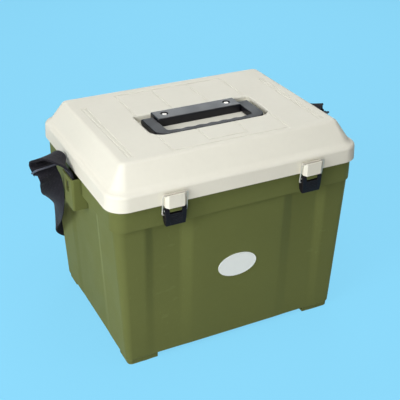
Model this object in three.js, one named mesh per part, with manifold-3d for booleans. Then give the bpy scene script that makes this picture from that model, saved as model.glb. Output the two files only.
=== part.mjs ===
// Fishing seat box: a moulded tub with a lid that doubles as the seat, a carrying handle sunk in
// the lid, two over-centre latches at the front, two hinges at the back and a shoulder strap.
// Millimetres, +Z up, the front of the box faces -Y, the floor is z = 0 and the tub is centred on Z.
import * as THREE from "three";
import { mergeVertices } from "three/addons/utils/BufferGeometryUtils.js";
import Module from "manifold-3d";

const wasm = await Module();
wasm.setup();

// Clearances and cuts
const gap = 0.3; // between pieces that rest on each other
const pinGap = 0.35; // radial, round a pin or a screw
const runGap = 0.6; // beside a piece that turns
const overrun = 2; // how far a cut passes the face it opens
const sink = 0.8; // how far a fused feature reaches into the wall that carries it

// Rim of the lid, the widest part of the box
const rimHalfX = 225;
const rimHalfY = 170.7;
const rimCorner = 32;
const rimBottom = 304;
const rimHeight = 25.5;
const rimDraft = 1.2;
const rimRound = 3.2;

// Sloped shoulder and seat of the lid
const shoulderRunX = 22.5;
const shoulderRunY = 23.5;
const shoulderShelf = 5.6;
const shoulderShelfRise = 2;
const shoulderRise = 39.5; // from the rim's top to the seat
const seatRound = 4.6;
const seatCorner = 9;
const lidWall = 3;
const lidRibThick = 2.4;
const lidRibDepth = 11;
const lidRibsX = [-148, 148];
const lidRibsY = [-98, 52, 98];

// Grooves moulded in the seat
const grooveWidth = 2.4;
const grooveDepth = 1.2;
const innerGrooveX = 35;
const outerGrooveX = 103.5;
const grooveBackInset = 22.2; // from the seat's back edge
const grooveFrontInset = 9.2; // from its front edge
const innerGrooveInset = 12.5; // from the outer grooves' front end
const endGrooveInset = 21.5; // from the seat's left or right edge
const endGroovePitch = 7;
const endGrooveBackInset = 53.2;
const endGrooveFrontInset = 17.2;

// Handle recess in the seat
const recessHalfX = 109.5;
const recessFrontY = -68;
const recessBackY = 18.3;
const recessDepth = 12;
const recessFrontCorner = 24;
const recessBackCorner = 5;

// Clamp bar that holds the handle, with its screws
const clampDepth = 33;
const clampRise = 2.8; // how far its top stands above the seat
const clampChamfer = 1.5;
const screwInset = 19.5; // from the clamp's end
const screwShank = 2.5;
const screwHead = 5;
const screwHeadHeight = 3.2;
const screwSink = 4.6;
const screwSinkRadius = 6.6;
const plateInset = 4; // from the clamp's end
const plateDepth = 20;
const plateThick = 3;
const nutFlats = 9;
const nutHeight = 4;
const screwTail = 2;

// Bail of the handle
const bailSideGap = 9.5; // from the recess's side
const bailArm = 21.4;
const bailBarDepth = 12.5;
const bailFrontGap = 1.6;
const bailHeight = 11;
const bailCorner = 19;
const bailInnerCorner = 6;
const gripInset = 12.6; // from the inside of the arm
const gripWaves = 6;
const gripWaveDepth = 2.2;
const trunnionRadius = 4.4;
const trunnionLength = 9;
const pivotInset = 16; // from the clamp's back face

// Tub
const bandInsetX = 6.5; // in from the lid's rim
const bandInsetY = 7.5;
const bandCorner = 23;
const bandHeight = 39; // below the lid's rim
const bandStep = 4; // past the body under it
const lipLap = 18; // how far the tub's lip stands up inside the lid's rim
const bodyTopCorner = 16;
const bodyDraftX = 13.5; // how far each wall draws in towards the floor
const bodyDraftY = 6.2;
const bodyBottomCorner = 10;
const tubWall = 3;
const tubFloor = 3.5;
const tubBottomRound = 4;
const tubInnerRound = 4;

// Flutes down the front and back of the tub, and a wide recess down each side.
// Their depths are those under the band, and they run out towards the floor.
const fluteRun = 82; // width of each flute, with both slopes
const fluteInnerSlope = 19;
const fluteInset = 35; // in from the side of the body at the floor
const fluteOuterSlope = 14;
const fluteDepth = 7;
const sideRecess = 62;
const sideSlope = 15;
const sideDepth = 4.5;
const pressedFoot = 0.6; // depth left at the floor

// Feet
const footHeight = 9.5;
const footReachX = 56; // in from the side of the body at the floor
const footReachY = 41; // in from its front and back
const footInset = 2;
const footEdge = 0.5;

// Hinges at the back
const hingeX = 122.5;
const hingeStandOff = 6.3; // from the rim's back face to the axis
const hingeDrop = 4; // from the rim's bottom to the axis
const knuckleRadius = 5.3;
const hingePinRadius = 2;
const lidKnuckleHalf = 12;
const tubKnuckle = 12;
const hingeGusset = 21;
const hingeArmRise = 18;

// Latches at the front
const latchX = 122.5;
const leverHalfX = 18.3;
const leverToeDraw = 1.9; // how far each side draws in towards the toe
const leverPinStandOff = 3.3; // from the rim's front face to the lever's pin
const leverPinDrop = 8.5; // from the rim's bottom to the lever's pin
const leverPinRadius = 1.6;
const earRadius = 4.5;
const earWidth = 7.6;
const leverLength = 26.5; // from the lever's pin to its toe
const leverShell = 2.6;
const leverBack = 6.8; // from the lever's pin back to its flange
const leverRibs = 5;
const leverRibPitch = 3.1;
const leverRibDepth = 0.8;
const lugRadius = 4.1;
const wireRadius = 1.15;
const wireDrop = 7.5; // from the lever's pin down to the wire's ends
const wireBack = 2; // and in towards the tub
const wireSideGap = 0.95; // between the wire and the lever's side
const wireBend = 2.6;
const wireOut = 2.5; // how far the crossbar lies in front of the lever's pin
const catchInset = 0.9; // in from the lever's side
const catchReach = 11.4;
const catchTopRise = 19.5; // above the rim's bottom
const catchUndercut = 2.2;
const catchChamfer = 4.5;
const lipThick = 2.3;
const lipHeight = 2;

// Label plate
const labelHalfX = 36;
const labelHalfZ = 22;
const labelThick = 0.8;
const labelHeight = 150.5;

// Strap loops moulded on the tub's sides
const bossHalfY = 25;
const bossY = 2;
const bossPastRim = 10; // out from the lid's rim
const bossDrop = 8; // below the lid's rim
const bossHeight = 56;
const bossWall = 2.6;
const bossRound = 4;
const bossBarRadius = 2.4;
const bossBarInset = 7.4; // in from the boss's face
const bossBarDrop = 21; // below the boss's top
const bossPocketDepth = 36;
const bossWindowHalfY = 6.5;
const bossWindowAbove = 12; // above the bar's axis
const bossWindowBelow = 8; // and below it

// Shoulder strap
const strapHalf = 19;
const strapThick = 1.6;
const strapAir = 0.4; // between two layers, and between a layer and a bar
const adjusterHalf = 22.5;
const adjusterBar = 3.5;
const adjusterSlot = 6;
const adjusterMiddleBar = 3;
const adjusterThick = 3;
const adjusterTail = 7;
const adjusterTurn = 13.7; // degrees, of its length away from X
const adjusterTilt = 36; // degrees, of its plate down towards the back
const adjusterOut = 35.8; // out from the boss's bar
const adjusterBack = 20.9; // behind it
const adjusterUp = 29.5; // and above it

// Colours
const material = (color, roughness, metalness = 0) =>
  new THREE.MeshStandardMaterial({ color, roughness, metalness });
const cream = material(0xe4e1d2, 0.45);
const olive = material(0x5d6837, 0.5);
const black = material(0x26242a, 0.5);
const webbing = material(0x2b2a33, 0.85);
const steel = material(0xc9ccd0, 0.25, 1);
const zinc = material(0xa8aaac, 0.4, 1);
const grey = material(0xb9bcc4, 0.45);
const white = material(0xf2f2f0, 0.35);

// A closed geometry as a solid that can be cut and joined
function solid(geometry) {
  const bare = geometry.clone();
  bare.deleteAttribute("normal");
  bare.deleteAttribute("uv");
  const merged = mergeVertices(bare, 1e-4);
  return new wasm.Manifold(
    new wasm.Mesh({
      numProp: 3,
      vertProperties: new Float32Array(merged.attributes.position.array),
      triVerts: new Uint32Array(merged.index.array),
    }),
  );
}

// A solid as a named mesh
function mesh(name, shape, look) {
  const { vertProperties, triVerts, numProp } = shape.getMesh();
  const positions = [];
  for (let i = 0; i < vertProperties.length; i += numProp)
    positions.push(vertProperties[i], vertProperties[i + 1], vertProperties[i + 2]);
  const geometry = new THREE.BufferGeometry();
  geometry.setAttribute("position", new THREE.Float32BufferAttribute(positions, 3));
  geometry.setIndex([...triVerts]);
  geometry.computeVertexNormals();
  const made = new THREE.Mesh(geometry, look);
  made.name = name;
  return made;
}

const joined = (shapes) => shapes.reduce((a, b) => a.add(b));
const cut = (shape, cuts) => cuts.reduce((a, b) => a.subtract(b), shape);

function box(x0, x1, y0, y1, z0, z1) {
  const geometry = new THREE.BoxGeometry(x1 - x0, y1 - y0, z1 - z0);
  geometry.translate((x0 + x1) / 2, (y0 + y1) / 2, (z0 + z1) / 2);
  return solid(geometry);
}

function rodX(radius, x0, x1, y, z, sides = 24) {
  const geometry = new THREE.CylinderGeometry(radius, radius, x1 - x0, sides);
  geometry.rotateZ(Math.PI / 2);
  geometry.translate((x0 + x1) / 2, y, z);
  return solid(geometry);
}

function rodY(radius, x, y0, y1, z, sides = 20) {
  const geometry = new THREE.CylinderGeometry(radius, radius, y1 - y0, sides);
  geometry.translate(x, (y0 + y1) / 2, z);
  return solid(geometry);
}

function rodZ(radius, x, y, z0, z1, sides = 24) {
  const geometry = new THREE.CylinderGeometry(radius, radius, z1 - z0, sides);
  geometry.rotateX(Math.PI / 2);
  geometry.translate(x, y, (z0 + z1) / 2);
  return solid(geometry);
}

// An outline of [y, z] points, drawn out along X
function prismX(points, x0, x1) {
  const shape = new THREE.Shape(points.map(([y, z]) => new THREE.Vector2(y, z)));
  const geometry = new THREE.ExtrudeGeometry(shape, { depth: x1 - x0, bevelEnabled: false });
  const axes = new THREE.Matrix4().makeBasis(
    new THREE.Vector3(0, 1, 0),
    new THREE.Vector3(0, 0, 1),
    new THREE.Vector3(1, 0, 0),
  );
  geometry.applyMatrix4(axes);
  geometry.translate(x0, 0, 0);
  return solid(geometry);
}

// A shape in plan, drawn up along Z
function prismZ(shape, z0, z1) {
  const geometry = new THREE.ExtrudeGeometry(shape, {
    depth: z1 - z0,
    bevelEnabled: false,
    curveSegments: 8,
  });
  geometry.translate(0, 0, z0);
  return solid(geometry);
}

// Positive where the faces of a closed body point out
function signedVolume(positions, faces) {
  const corner = (i) => new THREE.Vector3().fromArray(positions, 3 * faces[i]);
  let sum = 0;
  for (let i = 0; i < faces.length; i += 3)
    sum += corner(i).dot(corner(i + 1).cross(corner(i + 2)));
  return sum / 6;
}

// Rings of points, all alike in number, joined from the first to the last, with both ends closed
function loft(rings) {
  const count = rings[0].length;
  const positions = rings.flat().flatMap((p) => [p.x, p.y, p.z]);
  const faces = [];
  for (let r = 0; r + 1 < rings.length; r++)
    for (let i = 0; i < count; i++) {
      const a = r * count + i;
      const b = r * count + ((i + 1) % count);
      faces.push(a, b, b + count, a, b + count, a + count);
    }
  const close = (ring, first, flip) => {
    const middle = ring.reduce((s, p) => s.add(p), new THREE.Vector3()).divideScalar(count);
    const centre = positions.length / 3;
    positions.push(middle.x, middle.y, middle.z);
    for (let i = 0; i < count; i++) {
      const a = first + i;
      const b = first + ((i + 1) % count);
      if (flip) faces.push(centre, b, a);
      else faces.push(centre, a, b);
    }
  };
  close(rings[0], 0, true);
  close(rings[rings.length - 1], (rings.length - 1) * count, false);
  if (signedVolume(positions, faces) < 0) faces.reverse();
  const geometry = new THREE.BufferGeometry();
  geometry.setAttribute("position", new THREE.Float32BufferAttribute(positions, 3));
  geometry.setIndex(faces);
  return solid(geometry);
}

// A rounded rectangle at height z, anticlockwise from above
function roundedRing(halfX, halfY, corner, z, steps = 8) {
  const ring = [];
  const centres = [
    [halfX - corner, halfY - corner],
    [corner - halfX, halfY - corner],
    [corner - halfX, corner - halfY],
    [halfX - corner, corner - halfY],
  ];
  centres.forEach(([x, y], quarter) => {
    for (let i = 0; i <= steps; i++) {
      const turn = ((quarter + i / steps) * Math.PI) / 2;
      ring.push(
        new THREE.Vector3(x + corner * Math.cos(turn), y + corner * Math.sin(turn), z),
      );
    }
  });
  return ring;
}

// The tub's outline at height z, drawn in by inset, with its flutes and side recesses
function tubRing(halfX, halfY, corner, z, inset = 0, steps = 8) {
  const flute = [
    [fluteInner, 0],
    [fluteInner + fluteInnerSlope, pressedAt(fluteDepth, z)],
    [fluteOuter - fluteOuterSlope, pressedAt(fluteDepth, z)],
    [fluteOuter, 0],
  ];
  const side = [
    [sideRecess + sideSlope, 0],
    [sideRecess, pressedAt(sideDepth, z)],
  ];
  const a = halfX - inset;
  const b = halfY - inset;
  const r = corner - inset;
  // one quarter, from the middle of the right side to the middle of the back
  const quarter = [];
  side.toReversed().forEach(([y, depth]) => quarter.push([a - depth, y]));
  for (let i = 0; i <= steps; i++) {
    const turn = ((i / steps) * Math.PI) / 2;
    quarter.push([a - r + r * Math.cos(turn), b - r + r * Math.sin(turn)]);
  }
  flute.toReversed().forEach(([x, depth]) => quarter.push([x, b - depth]));
  const back = quarter.toReversed();
  const all = [
    ...quarter,
    ...back.map(([x, y]) => [-x, y]),
    ...quarter.map(([x, y]) => [-x, -y]),
    ...back.map(([x, y]) => [x, -y]),
  ];
  return all.map(([x, y]) => new THREE.Vector3(x, y, z));
}

// Places worked out from the sizes above
const rimTop = rimBottom + rimHeight;
const lipTop = rimBottom + lipLap;
const seatHeight = rimTop + shoulderRise;
const shelfInset = rimDraft + rimRound + shoulderShelf;
const seatHalfX = rimHalfX - shelfInset - shoulderRunX;
const seatHalfY = rimHalfY - shelfInset - shoulderRunY;
const grooveBackY = seatHalfY - grooveBackInset;
const grooveFrontY = grooveFrontInset - seatHalfY;
const innerGrooveFrontY = grooveFrontY + innerGrooveInset;
const endGrooveX = seatHalfX - endGrooveInset;
const endGrooveBackY = seatHalfY - endGrooveBackInset;
const endGrooveFrontY = endGrooveFrontInset - seatHalfY;
const lidCeiling = seatHeight - lidWall;

const recessFloor = seatHeight - recessDepth;
const recessUnder = recessFloor - lidWall;
const bailOuterX = recessHalfX - bailSideGap;
const bailInnerX = bailOuterX - bailArm;
const clampHalfX = bailInnerX - runGap;
const clampBackY = recessBackY - gap;
const clampFrontY = clampBackY - clampDepth;
const clampTop = seatHeight + clampRise;
const clampBottom = recessFloor + gap;
const screwX = clampHalfX - screwInset;
const screwY = (clampBackY + clampFrontY) / 2 + 1.5 * clampChamfer;
const pivotY = clampBackY - pivotInset;
const pivotZ = clampBottom + bailHeight / 2;

const bandHalfX = rimHalfX - bandInsetX;
const bandHalfY = rimHalfY - bandInsetY;
const bandBottom = rimBottom - bandHeight;
const bodyTopHalfX = bandHalfX - bandStep;
const bodyTopHalfY = bandHalfY - bandStep;
const bodyBottomHalfX = bodyTopHalfX - bodyDraftX;
const bodyBottomHalfY = bodyTopHalfY - bodyDraftY;
const fluteOuter = bodyBottomHalfX - fluteInset;
const fluteInner = fluteOuter - fluteRun;
const footInnerX = bodyBottomHalfX - footReachX;
const footInnerY = bodyBottomHalfY - footReachY;

const hingeY = rimHalfY + hingeStandOff;
const hingeZ = rimBottom - hingeDrop;
const leverPinY = -rimHalfY - leverPinStandOff;
const leverPinZ = rimBottom - leverPinDrop;
const lugHalfX = leverHalfX - earWidth - runGap;
const catchHalfX = leverHalfX - catchInset;
const catchTop = rimBottom + catchTopRise;
const wireHalfX = leverHalfX + wireSideGap + wireRadius;
const wireRise = catchTop - lipHeight + pinGap + wireRadius - leverPinZ;

const bossReach = rimHalfX + bossPastRim;
const bossTop = rimBottom - bossDrop;
const bossBottom = bossTop - bossHeight;
const bossBarX = bossReach - bossBarInset;
const bossBarZ = bossTop - bossBarDrop;
const adjusterX = bossBarX + adjusterOut;
const adjusterY = bossY + adjusterBack;
const adjusterZ = bossBarZ + adjusterUp;

// Tub

// How far up the body a height is, from 0 at its bottom to 1 under the band
function bodyShare(z) {
  return (z - footHeight) / (bandBottom - footHeight);
}

// How deep a flute or side recess is at height z, from its depth under the band
function pressedAt(depth, z) {
  return pressedFoot + (depth - pressedFoot) * Math.max(0, bodyShare(z));
}

// Half width, half depth and corner of the body at height z
function bodyAt(z) {
  const share = bodyShare(z);
  return [
    bodyBottomHalfX + (bodyTopHalfX - bodyBottomHalfX) * share,
    bodyBottomHalfY + (bodyTopHalfY - bodyBottomHalfY) * share,
    bodyBottomCorner + (bodyTopCorner - bodyBottomCorner) * share,
  ];
}

function bodyRing(z, inset = 0) {
  const [halfX, halfY, corner] = bodyAt(z);
  return tubRing(halfX, halfY, corner, z, inset);
}

// The inside of the body, from its rounded floor up to the ledge behind the band
function innerRings() {
  const floorTop = footHeight + tubFloor;
  return [
    bodyRing(floorTop, tubWall + tubInnerRound),
    bodyRing(floorTop + tubInnerRound / 3, tubWall + tubInnerRound / 3),
    bodyRing(floorTop + tubInnerRound, tubWall),
    bodyRing(bandBottom + tubWall, tubWall),
  ];
}

function tubShell() {
  const baseTop = footHeight + tubBottomRound;
  const band = [bandHalfX, bandHalfY, bandCorner];
  const innerLedge = bandBottom + tubWall;
  const outer = [
    bodyRing(footHeight, tubBottomRound),
    bodyRing(footHeight + tubBottomRound / 3, tubBottomRound / 3),
    bodyRing(baseTop),
    bodyRing(bandBottom),
  ];
  const body = loft([...outer, ...innerRings().toReversed()]);
  const collarOuter = loft([
    roundedRing(...band, bandBottom),
    roundedRing(...band, lipTop - tubWall / 2),
    roundedRing(bandHalfX - tubWall / 3, bandHalfY - tubWall / 3, bandCorner, lipTop),
  ]);
  const collarInner = loft([
    roundedRing(bandHalfX - tubWall, bandHalfY - tubWall, bandCorner - tubWall, innerLedge),
    roundedRing(bandHalfX - tubWall, bandHalfY - tubWall, bandCorner - tubWall, lipTop + overrun),
  ]);
  const throat = loft([
    bodyRing(bandBottom - overrun, tubWall),
    bodyRing(innerLedge + overrun, tubWall),
  ]);
  return { body, collar: cut(collarOuter, [collarInner, throat]) };
}

function feet() {
  const pad = loft([
    bodyRing(0, footInset + footEdge),
    bodyRing(footHeight / 4, footInset),
    bodyRing(footHeight + tubFloor / 2, footInset),
  ]);
  const blocks = [];
  for (const sx of [-1, 1])
    for (const sy of [-1, 1]) {
      const xs = [sx * footInnerX, sx * rimHalfX].sort((a, b) => a - b);
      const ys = [sy * footInnerY, sy * rimHalfY].sort((a, b) => a - b);
      blocks.push(box(...xs, ...ys, -overrun, footHeight + tubFloor));
    }
  return pad.intersect(joined(blocks));
}

// The lug between a latch lever's ears, with its pin hole
function latchLug(x) {
  const root = -bandHalfY + sink;
  const under = leverPinZ - lugRadius;
  const profile = [
    [root, under],
    [leverPinY, under],
    [leverPinY, leverPinZ + lugRadius],
    [root, leverPinZ + lugRadius + sink],
  ];
  return prismX(profile, x - lugHalfX, x + lugHalfX).add(
    rodX(lugRadius, x - lugHalfX, x + lugHalfX, leverPinY, leverPinZ, 24),
  );
}

// The two knuckles that the tub gives to a hinge
function tubKnuckles(x) {
  const root = bandHalfY - sink;
  const slant = (-50 * Math.PI) / 180;
  const profile = [
    [root, hingeZ - hingeGusset],
    [hingeY + knuckleRadius * Math.cos(slant), hingeZ + knuckleRadius * Math.sin(slant)],
    [hingeY, hingeZ],
    [root, hingeZ],
  ];
  const inner = lidKnuckleHalf + runGap;
  const outer = inner + tubKnuckle;
  return joined(
    [
      [-outer, -inner],
      [inner, outer],
    ].flatMap(([a, b]) => [
      prismX(profile, x + a, x + b),
      rodX(knuckleRadius, x + a, x + b, hingeY, hingeZ, 24),
    ]),
  );
}

// The strap's loop on one side: a pocket open at the top, with a bar across it
function strapBoss(side) {
  const wall = bodyAt(bossBottom)[0] - pressedAt(sideDepth, bossBottom) - sink;
  const [y0, y1] = [bossY - bossHalfY, bossY + bossHalfY];
  const span = (a, b) => (side > 0 ? [a, b] : [-b, -a]);
  const plan = new THREE.Shape();
  const [inX, outX] = [side * wall, side * bossReach];
  const roundX = outX - side * bossRound;
  plan.moveTo(inX, y0);
  plan.lineTo(roundX, y0);
  plan.quadraticCurveTo(outX, y0, outX, y0 + bossRound);
  plan.lineTo(outX, y1 - bossRound);
  plan.quadraticCurveTo(outX, y1, roundX, y1);
  plan.lineTo(inX, y1);
  const block = prismZ(plan, bossBottom, bossTop);
  const pocketIn = bandHalfX + bossWall / 2;
  const pocket = box(
    ...span(pocketIn, bossReach - bossWall),
    y0 + bossWall + gap,
    y1 - bossWall - gap,
    bossTop - bossPocketDepth,
    bossTop + overrun,
  );
  const window = box(
    ...span(bossReach - bossWall - overrun, bossReach + overrun),
    bossY - bossWindowHalfY,
    bossY + bossWindowHalfY,
    bossBarZ - bossWindowBelow,
    bossBarZ + bossWindowAbove,
  );
  const bar = rodY(bossBarRadius, side * bossBarX, y0 + bossWall / 2, y1 - bossWall / 2, bossBarZ);
  return { block, holes: [pocket, window], bar };
}

function tub() {
  const { body, collar } = tubShell();
  const bosses = [-1, 1].map(strapBoss);
  const inside = loft(innerRings());
  let shape = joined([
    body,
    collar,
    feet(),
    ...bosses.map((b) => b.block),
    ...[-1, 1].map((s) => latchLug(s * latchX)),
    ...[-1, 1].map((s) => tubKnuckles(s * hingeX)),
  ]);
  const pinHole = leverPinRadius + pinGap;
  const hingeHole = hingePinRadius + pinGap;
  const reach = lidKnuckleHalf + runGap + tubKnuckle + overrun;
  shape = cut(shape, [
    ...bosses.flatMap((b) => b.holes),
    inside,
    ...[-1, 1].map((s) => {
      const half = lugHalfX + overrun;
      return rodX(pinHole, s * latchX - half, s * latchX + half, leverPinY, leverPinZ, 16);
    }),
    ...[-1, 1].map((s) => rodX(hingeHole, s * hingeX - reach, s * hingeX + reach, hingeY, hingeZ, 16)),
  ]);
  return joined([shape, ...bosses.map((b) => b.bar)]);
}

// Lid

function lidOuter() {
  const shelfX = rimHalfX - shelfInset;
  const shelfY = rimHalfY - shelfInset;
  const shelfCorner = rimCorner - rimRound - shoulderShelf;
  const topX = seatHalfX + seatRound;
  const topY = seatHalfY + seatRound;
  return loft([
    roundedRing(rimHalfX, rimHalfY, rimCorner, rimBottom),
    roundedRing(rimHalfX - rimDraft, rimHalfY - rimDraft, rimCorner, rimTop - rimRound),
    roundedRing(
      rimHalfX - rimDraft - rimRound / 3,
      rimHalfY - rimDraft - rimRound / 3,
      rimCorner,
      rimTop - rimRound / 3,
    ),
    roundedRing(
      rimHalfX - rimDraft - rimRound,
      rimHalfY - rimDraft - rimRound,
      rimCorner - rimRound,
      rimTop,
    ),
    roundedRing(
      shelfX + shoulderShelf / 4,
      shelfY + shoulderShelf / 4,
      shelfCorner + shoulderShelf / 4,
      rimTop + shoulderShelfRise / 4,
    ),
    roundedRing(shelfX, shelfY, shelfCorner, rimTop + shoulderShelfRise),
    roundedRing(topX, topY, seatCorner + seatRound, seatHeight - seatRound),
    roundedRing(
      topX - seatRound / 3,
      topY - seatRound / 3,
      seatCorner + seatRound / 2,
      seatHeight - seatRound / 3,
    ),
    roundedRing(seatHalfX, seatHalfY, seatCorner, seatHeight),
  ]);
}

// The hollow under the lid: the skirt round the tub's lip, then the space under the shoulder
function lidHollow() {
  const skirtX = rimHalfX - rimDraft - lidWall;
  const skirtY = rimHalfY - rimDraft - lidWall;
  const skirtCorner = rimCorner - lidWall;
  const shelfX = rimHalfX - shelfInset - lidWall;
  const shelfY = rimHalfY - shelfInset - lidWall;
  const shelfCorner = rimCorner - rimRound - shoulderShelf - lidWall;
  const ceilingX = seatHalfX + seatRound - lidWall;
  const ceilingY = seatHalfY + seatRound - lidWall;
  const seatLine = lipTop + gap;
  const skirt = loft([
    roundedRing(skirtX, skirtY, skirtCorner, rimBottom - overrun),
    roundedRing(skirtX, skirtY, skirtCorner, seatLine),
  ]);
  const dome = loft([
    roundedRing(shelfX, shelfY, shelfCorner, seatLine - overrun),
    roundedRing(shelfX, shelfY, shelfCorner, rimTop + shoulderShelfRise - lidWall),
    roundedRing(ceilingX, ceilingY, seatCorner + seatRound - lidWall, lidCeiling - seatRound),
    roundedRing(
      ceilingX - seatRound / 2,
      ceilingY - seatRound / 2,
      seatCorner + seatRound - lidWall,
      lidCeiling,
    ),
  ]);
  return skirt.add(dome);
}

// The handle recess in plan, drawn out by grow, with its rounder corners at the front
function recessPlan(grow = 0) {
  const x = recessHalfX + grow;
  const [front, back] = [recessFrontY - grow, recessBackY + grow];
  const [rf, rb] = [recessFrontCorner + grow, recessBackCorner + grow];
  const plan = new THREE.Shape();
  plan.moveTo(-x + rf, front);
  plan.lineTo(x - rf, front);
  plan.absarc(x - rf, front + rf, rf, -Math.PI / 2, 0, false);
  plan.lineTo(x, back - rb);
  plan.absarc(x - rb, back - rb, rb, 0, Math.PI / 2, false);
  plan.lineTo(-x + rb, back);
  plan.absarc(-x + rb, back - rb, rb, Math.PI / 2, Math.PI, false);
  plan.lineTo(-x, front + rf);
  plan.absarc(-x + rf, front + rf, rf, Math.PI, 1.5 * Math.PI, false);
  return plan;
}

function seatGrooves() {
  const [z0, z1] = [seatHeight - grooveDepth, seatHeight + overrun];
  const half = grooveWidth / 2;
  const alongY = (x, y0, y1) => box(x - half, x + half, y0 - half, y1 + half, z0, z1);
  const alongX = (y, x0, x1) => box(x0 - half, x1 + half, y - half, y + half, z0, z1);
  const grooves = [
    alongX(grooveBackY, -outerGrooveX, outerGrooveX),
    alongX(grooveFrontY, -outerGrooveX, outerGrooveX),
    alongX(innerGrooveFrontY, -innerGrooveX, innerGrooveX),
  ];
  for (const s of [-1, 1]) {
    grooves.push(alongY(s * outerGrooveX, grooveFrontY, grooveBackY));
    grooves.push(alongY(s * innerGrooveX, innerGrooveFrontY, grooveBackY));
    const x0 = s * endGrooveX - endGroovePitch / 2;
    grooves.push(alongY(x0, endGrooveFrontY, endGrooveBackY));
    grooves.push(alongY(x0 + endGroovePitch, endGrooveFrontY, endGrooveBackY));
    grooves.push(alongX(endGrooveFrontY, x0, x0 + endGroovePitch));
    grooves.push(alongX(endGrooveBackY, x0, x0 + endGroovePitch));
  }
  return joined(grooves);
}

function lidRibs() {
  const [z0, z1] = [lidCeiling - lidRibDepth, lidCeiling + lidWall / 2];
  const half = lidRibThick / 2;
  return joined([
    ...lidRibsX.map((x) => box(x - half, x + half, -rimHalfY, rimHalfY, z0, z1)),
    ...lidRibsY.map((y) => box(-rimHalfX, rimHalfX, y - half, y + half, z0, z1)),
  ]);
}

// The catch that a latch wire hooks over: a block on the rim with a groove behind its lip
function latchCatch(x) {
  const root = -rimHalfY + lidWall / 2;
  const face = -rimHalfY - catchReach;
  const profile = [
    [root, rimBottom],
    [face, rimBottom - catchUndercut],
    [face, catchTop - catchChamfer / 3],
    [face + catchChamfer / 3, catchTop],
    [face + lipThick, catchTop],
    [face + lipThick, catchTop - lipHeight],
    [root, catchTop - lipHeight],
  ];
  const block = prismX(profile, x - catchHalfX, x + catchHalfX);
  // the two front edges are cut back at 45 degrees
  const corners = [-1, 1].map((s) => {
    const edge = x + s * catchHalfX;
    const corner = new THREE.Shape([
      new THREE.Vector2(edge - s * (catchChamfer + overrun), face - overrun),
      new THREE.Vector2(edge + s * overrun, face - overrun),
      new THREE.Vector2(edge + s * overrun, face + catchChamfer + overrun),
    ]);
    return prismZ(corner, rimBottom - catchUndercut - overrun, catchTop + overrun);
  });
  return cut(block, corners);
}

// The knuckle that the lid gives to a hinge
function lidKnuckle(x) {
  const root = rimHalfY - lidWall / 2;
  const [x0, x1] = [x - lidKnuckleHalf, x + lidKnuckleHalf];
  const profile = [
    [root, rimBottom + sink],
    [hingeY, hingeZ],
    [hingeY + knuckleRadius - sink / 4, hingeZ + sink],
    [rimHalfY + hingeStandOff / 2, rimBottom + hingeArmRise],
    [root, rimBottom + hingeArmRise],
  ];
  return prismX(profile, x0, x1).add(rodX(knuckleRadius, x0, x1, hingeY, hingeZ, 24));
}

function lid() {
  const outer = lidOuter();
  const shell = cut(outer, [lidHollow()]);
  const pocketBody = prismZ(recessPlan(lidWall), recessUnder, lidCeiling + lidWall / 2);
  const ribs = lidRibs().intersect(outer);
  const body = joined([
    shell,
    pocketBody,
    ribs,
    ...[-1, 1].map((s) => lidKnuckle(s * hingeX)),
    ...[-1, 1].map((s) => latchCatch(s * latchX)),
  ]);
  const half = lidKnuckleHalf + overrun;
  const hingeHole = hingePinRadius + pinGap;
  const screwHole = screwShank + pinGap;
  return cut(body, [
    prismZ(recessPlan(), recessFloor, seatHeight + overrun),
    seatGrooves(),
    ...[-1, 1].map((s) => rodX(hingeHole, s * hingeX - half, s * hingeX + half, hingeY, hingeZ, 16)),
    ...[-1, 1].map((s) =>
      rodZ(screwHole, s * screwX, screwY, recessUnder - overrun, recessFloor + overrun, 20),
    ),
  ]);
}

// Handle

function handleClamp() {
  const c = clampChamfer;
  const profile = [
    [clampFrontY, clampBottom],
    [clampBackY, clampBottom],
    [clampBackY, clampTop - c],
    [clampBackY - c, clampTop],
    [clampFrontY + c, clampTop],
    [clampFrontY, clampTop - c],
  ];
  const bar = prismX(profile, -clampHalfX, clampHalfX);
  const seat = trunnionRadius + pinGap;
  const cuts = [];
  for (const s of [-1, 1]) {
    const outer = s * (clampHalfX + overrun);
    const inner = s * (clampHalfX - trunnionLength);
    const [x0, x1] = s > 0 ? [inner, outer] : [outer, inner];
    cuts.push(rodX(seat, x0, x1, pivotY, pivotZ, 24));
    cuts.push(box(x0, x1, pivotY - seat, pivotY + seat, clampBottom - overrun, pivotZ));
    cuts.push(
      rodZ(screwShank + pinGap, s * screwX, screwY, clampBottom - overrun, clampTop + overrun, 20),
    );
    cuts.push(
      rodZ(screwSinkRadius, s * screwX, screwY, clampTop - screwSink, clampTop + overrun, 28),
    );
  }
  return cut(bar, cuts);
}

// A screw with a domed head, from its seat in the clamp down through its nut
function handleScrew() {
  const headSeat = clampTop - screwSink + gap;
  const end = recessUnder - gap - plateThick - gap - nutHeight - screwTail;
  const headTop = headSeat + screwHeadHeight;
  const profile = [
    [0, end],
    [screwShank - sink / 2, end],
    [screwShank, end + sink / 2],
    [screwShank, headSeat],
    [screwHead, headSeat],
    [screwHead, headSeat + screwHeadHeight / 2],
    [screwHead * 0.86, headSeat + screwHeadHeight * 0.82],
    [screwHead / 2, headTop],
    [0, headTop],
  ];
  const geometry = new THREE.LatheGeometry(
    profile.map(([r, z]) => new THREE.Vector2(r, z)),
    24,
  );
  geometry.rotateX(Math.PI / 2);
  // a cross-shaped drive in the dome
  const [half, arm] = [screwHeadHeight / 4, screwHead / 2];
  const [z0, z1] = [headTop - 2 * half, headTop + overrun];
  return cut(solid(geometry), [
    box(-arm, arm, -half, half, z0, z1),
    box(-half, half, -arm, arm, z0, z1),
  ]);
}

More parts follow.
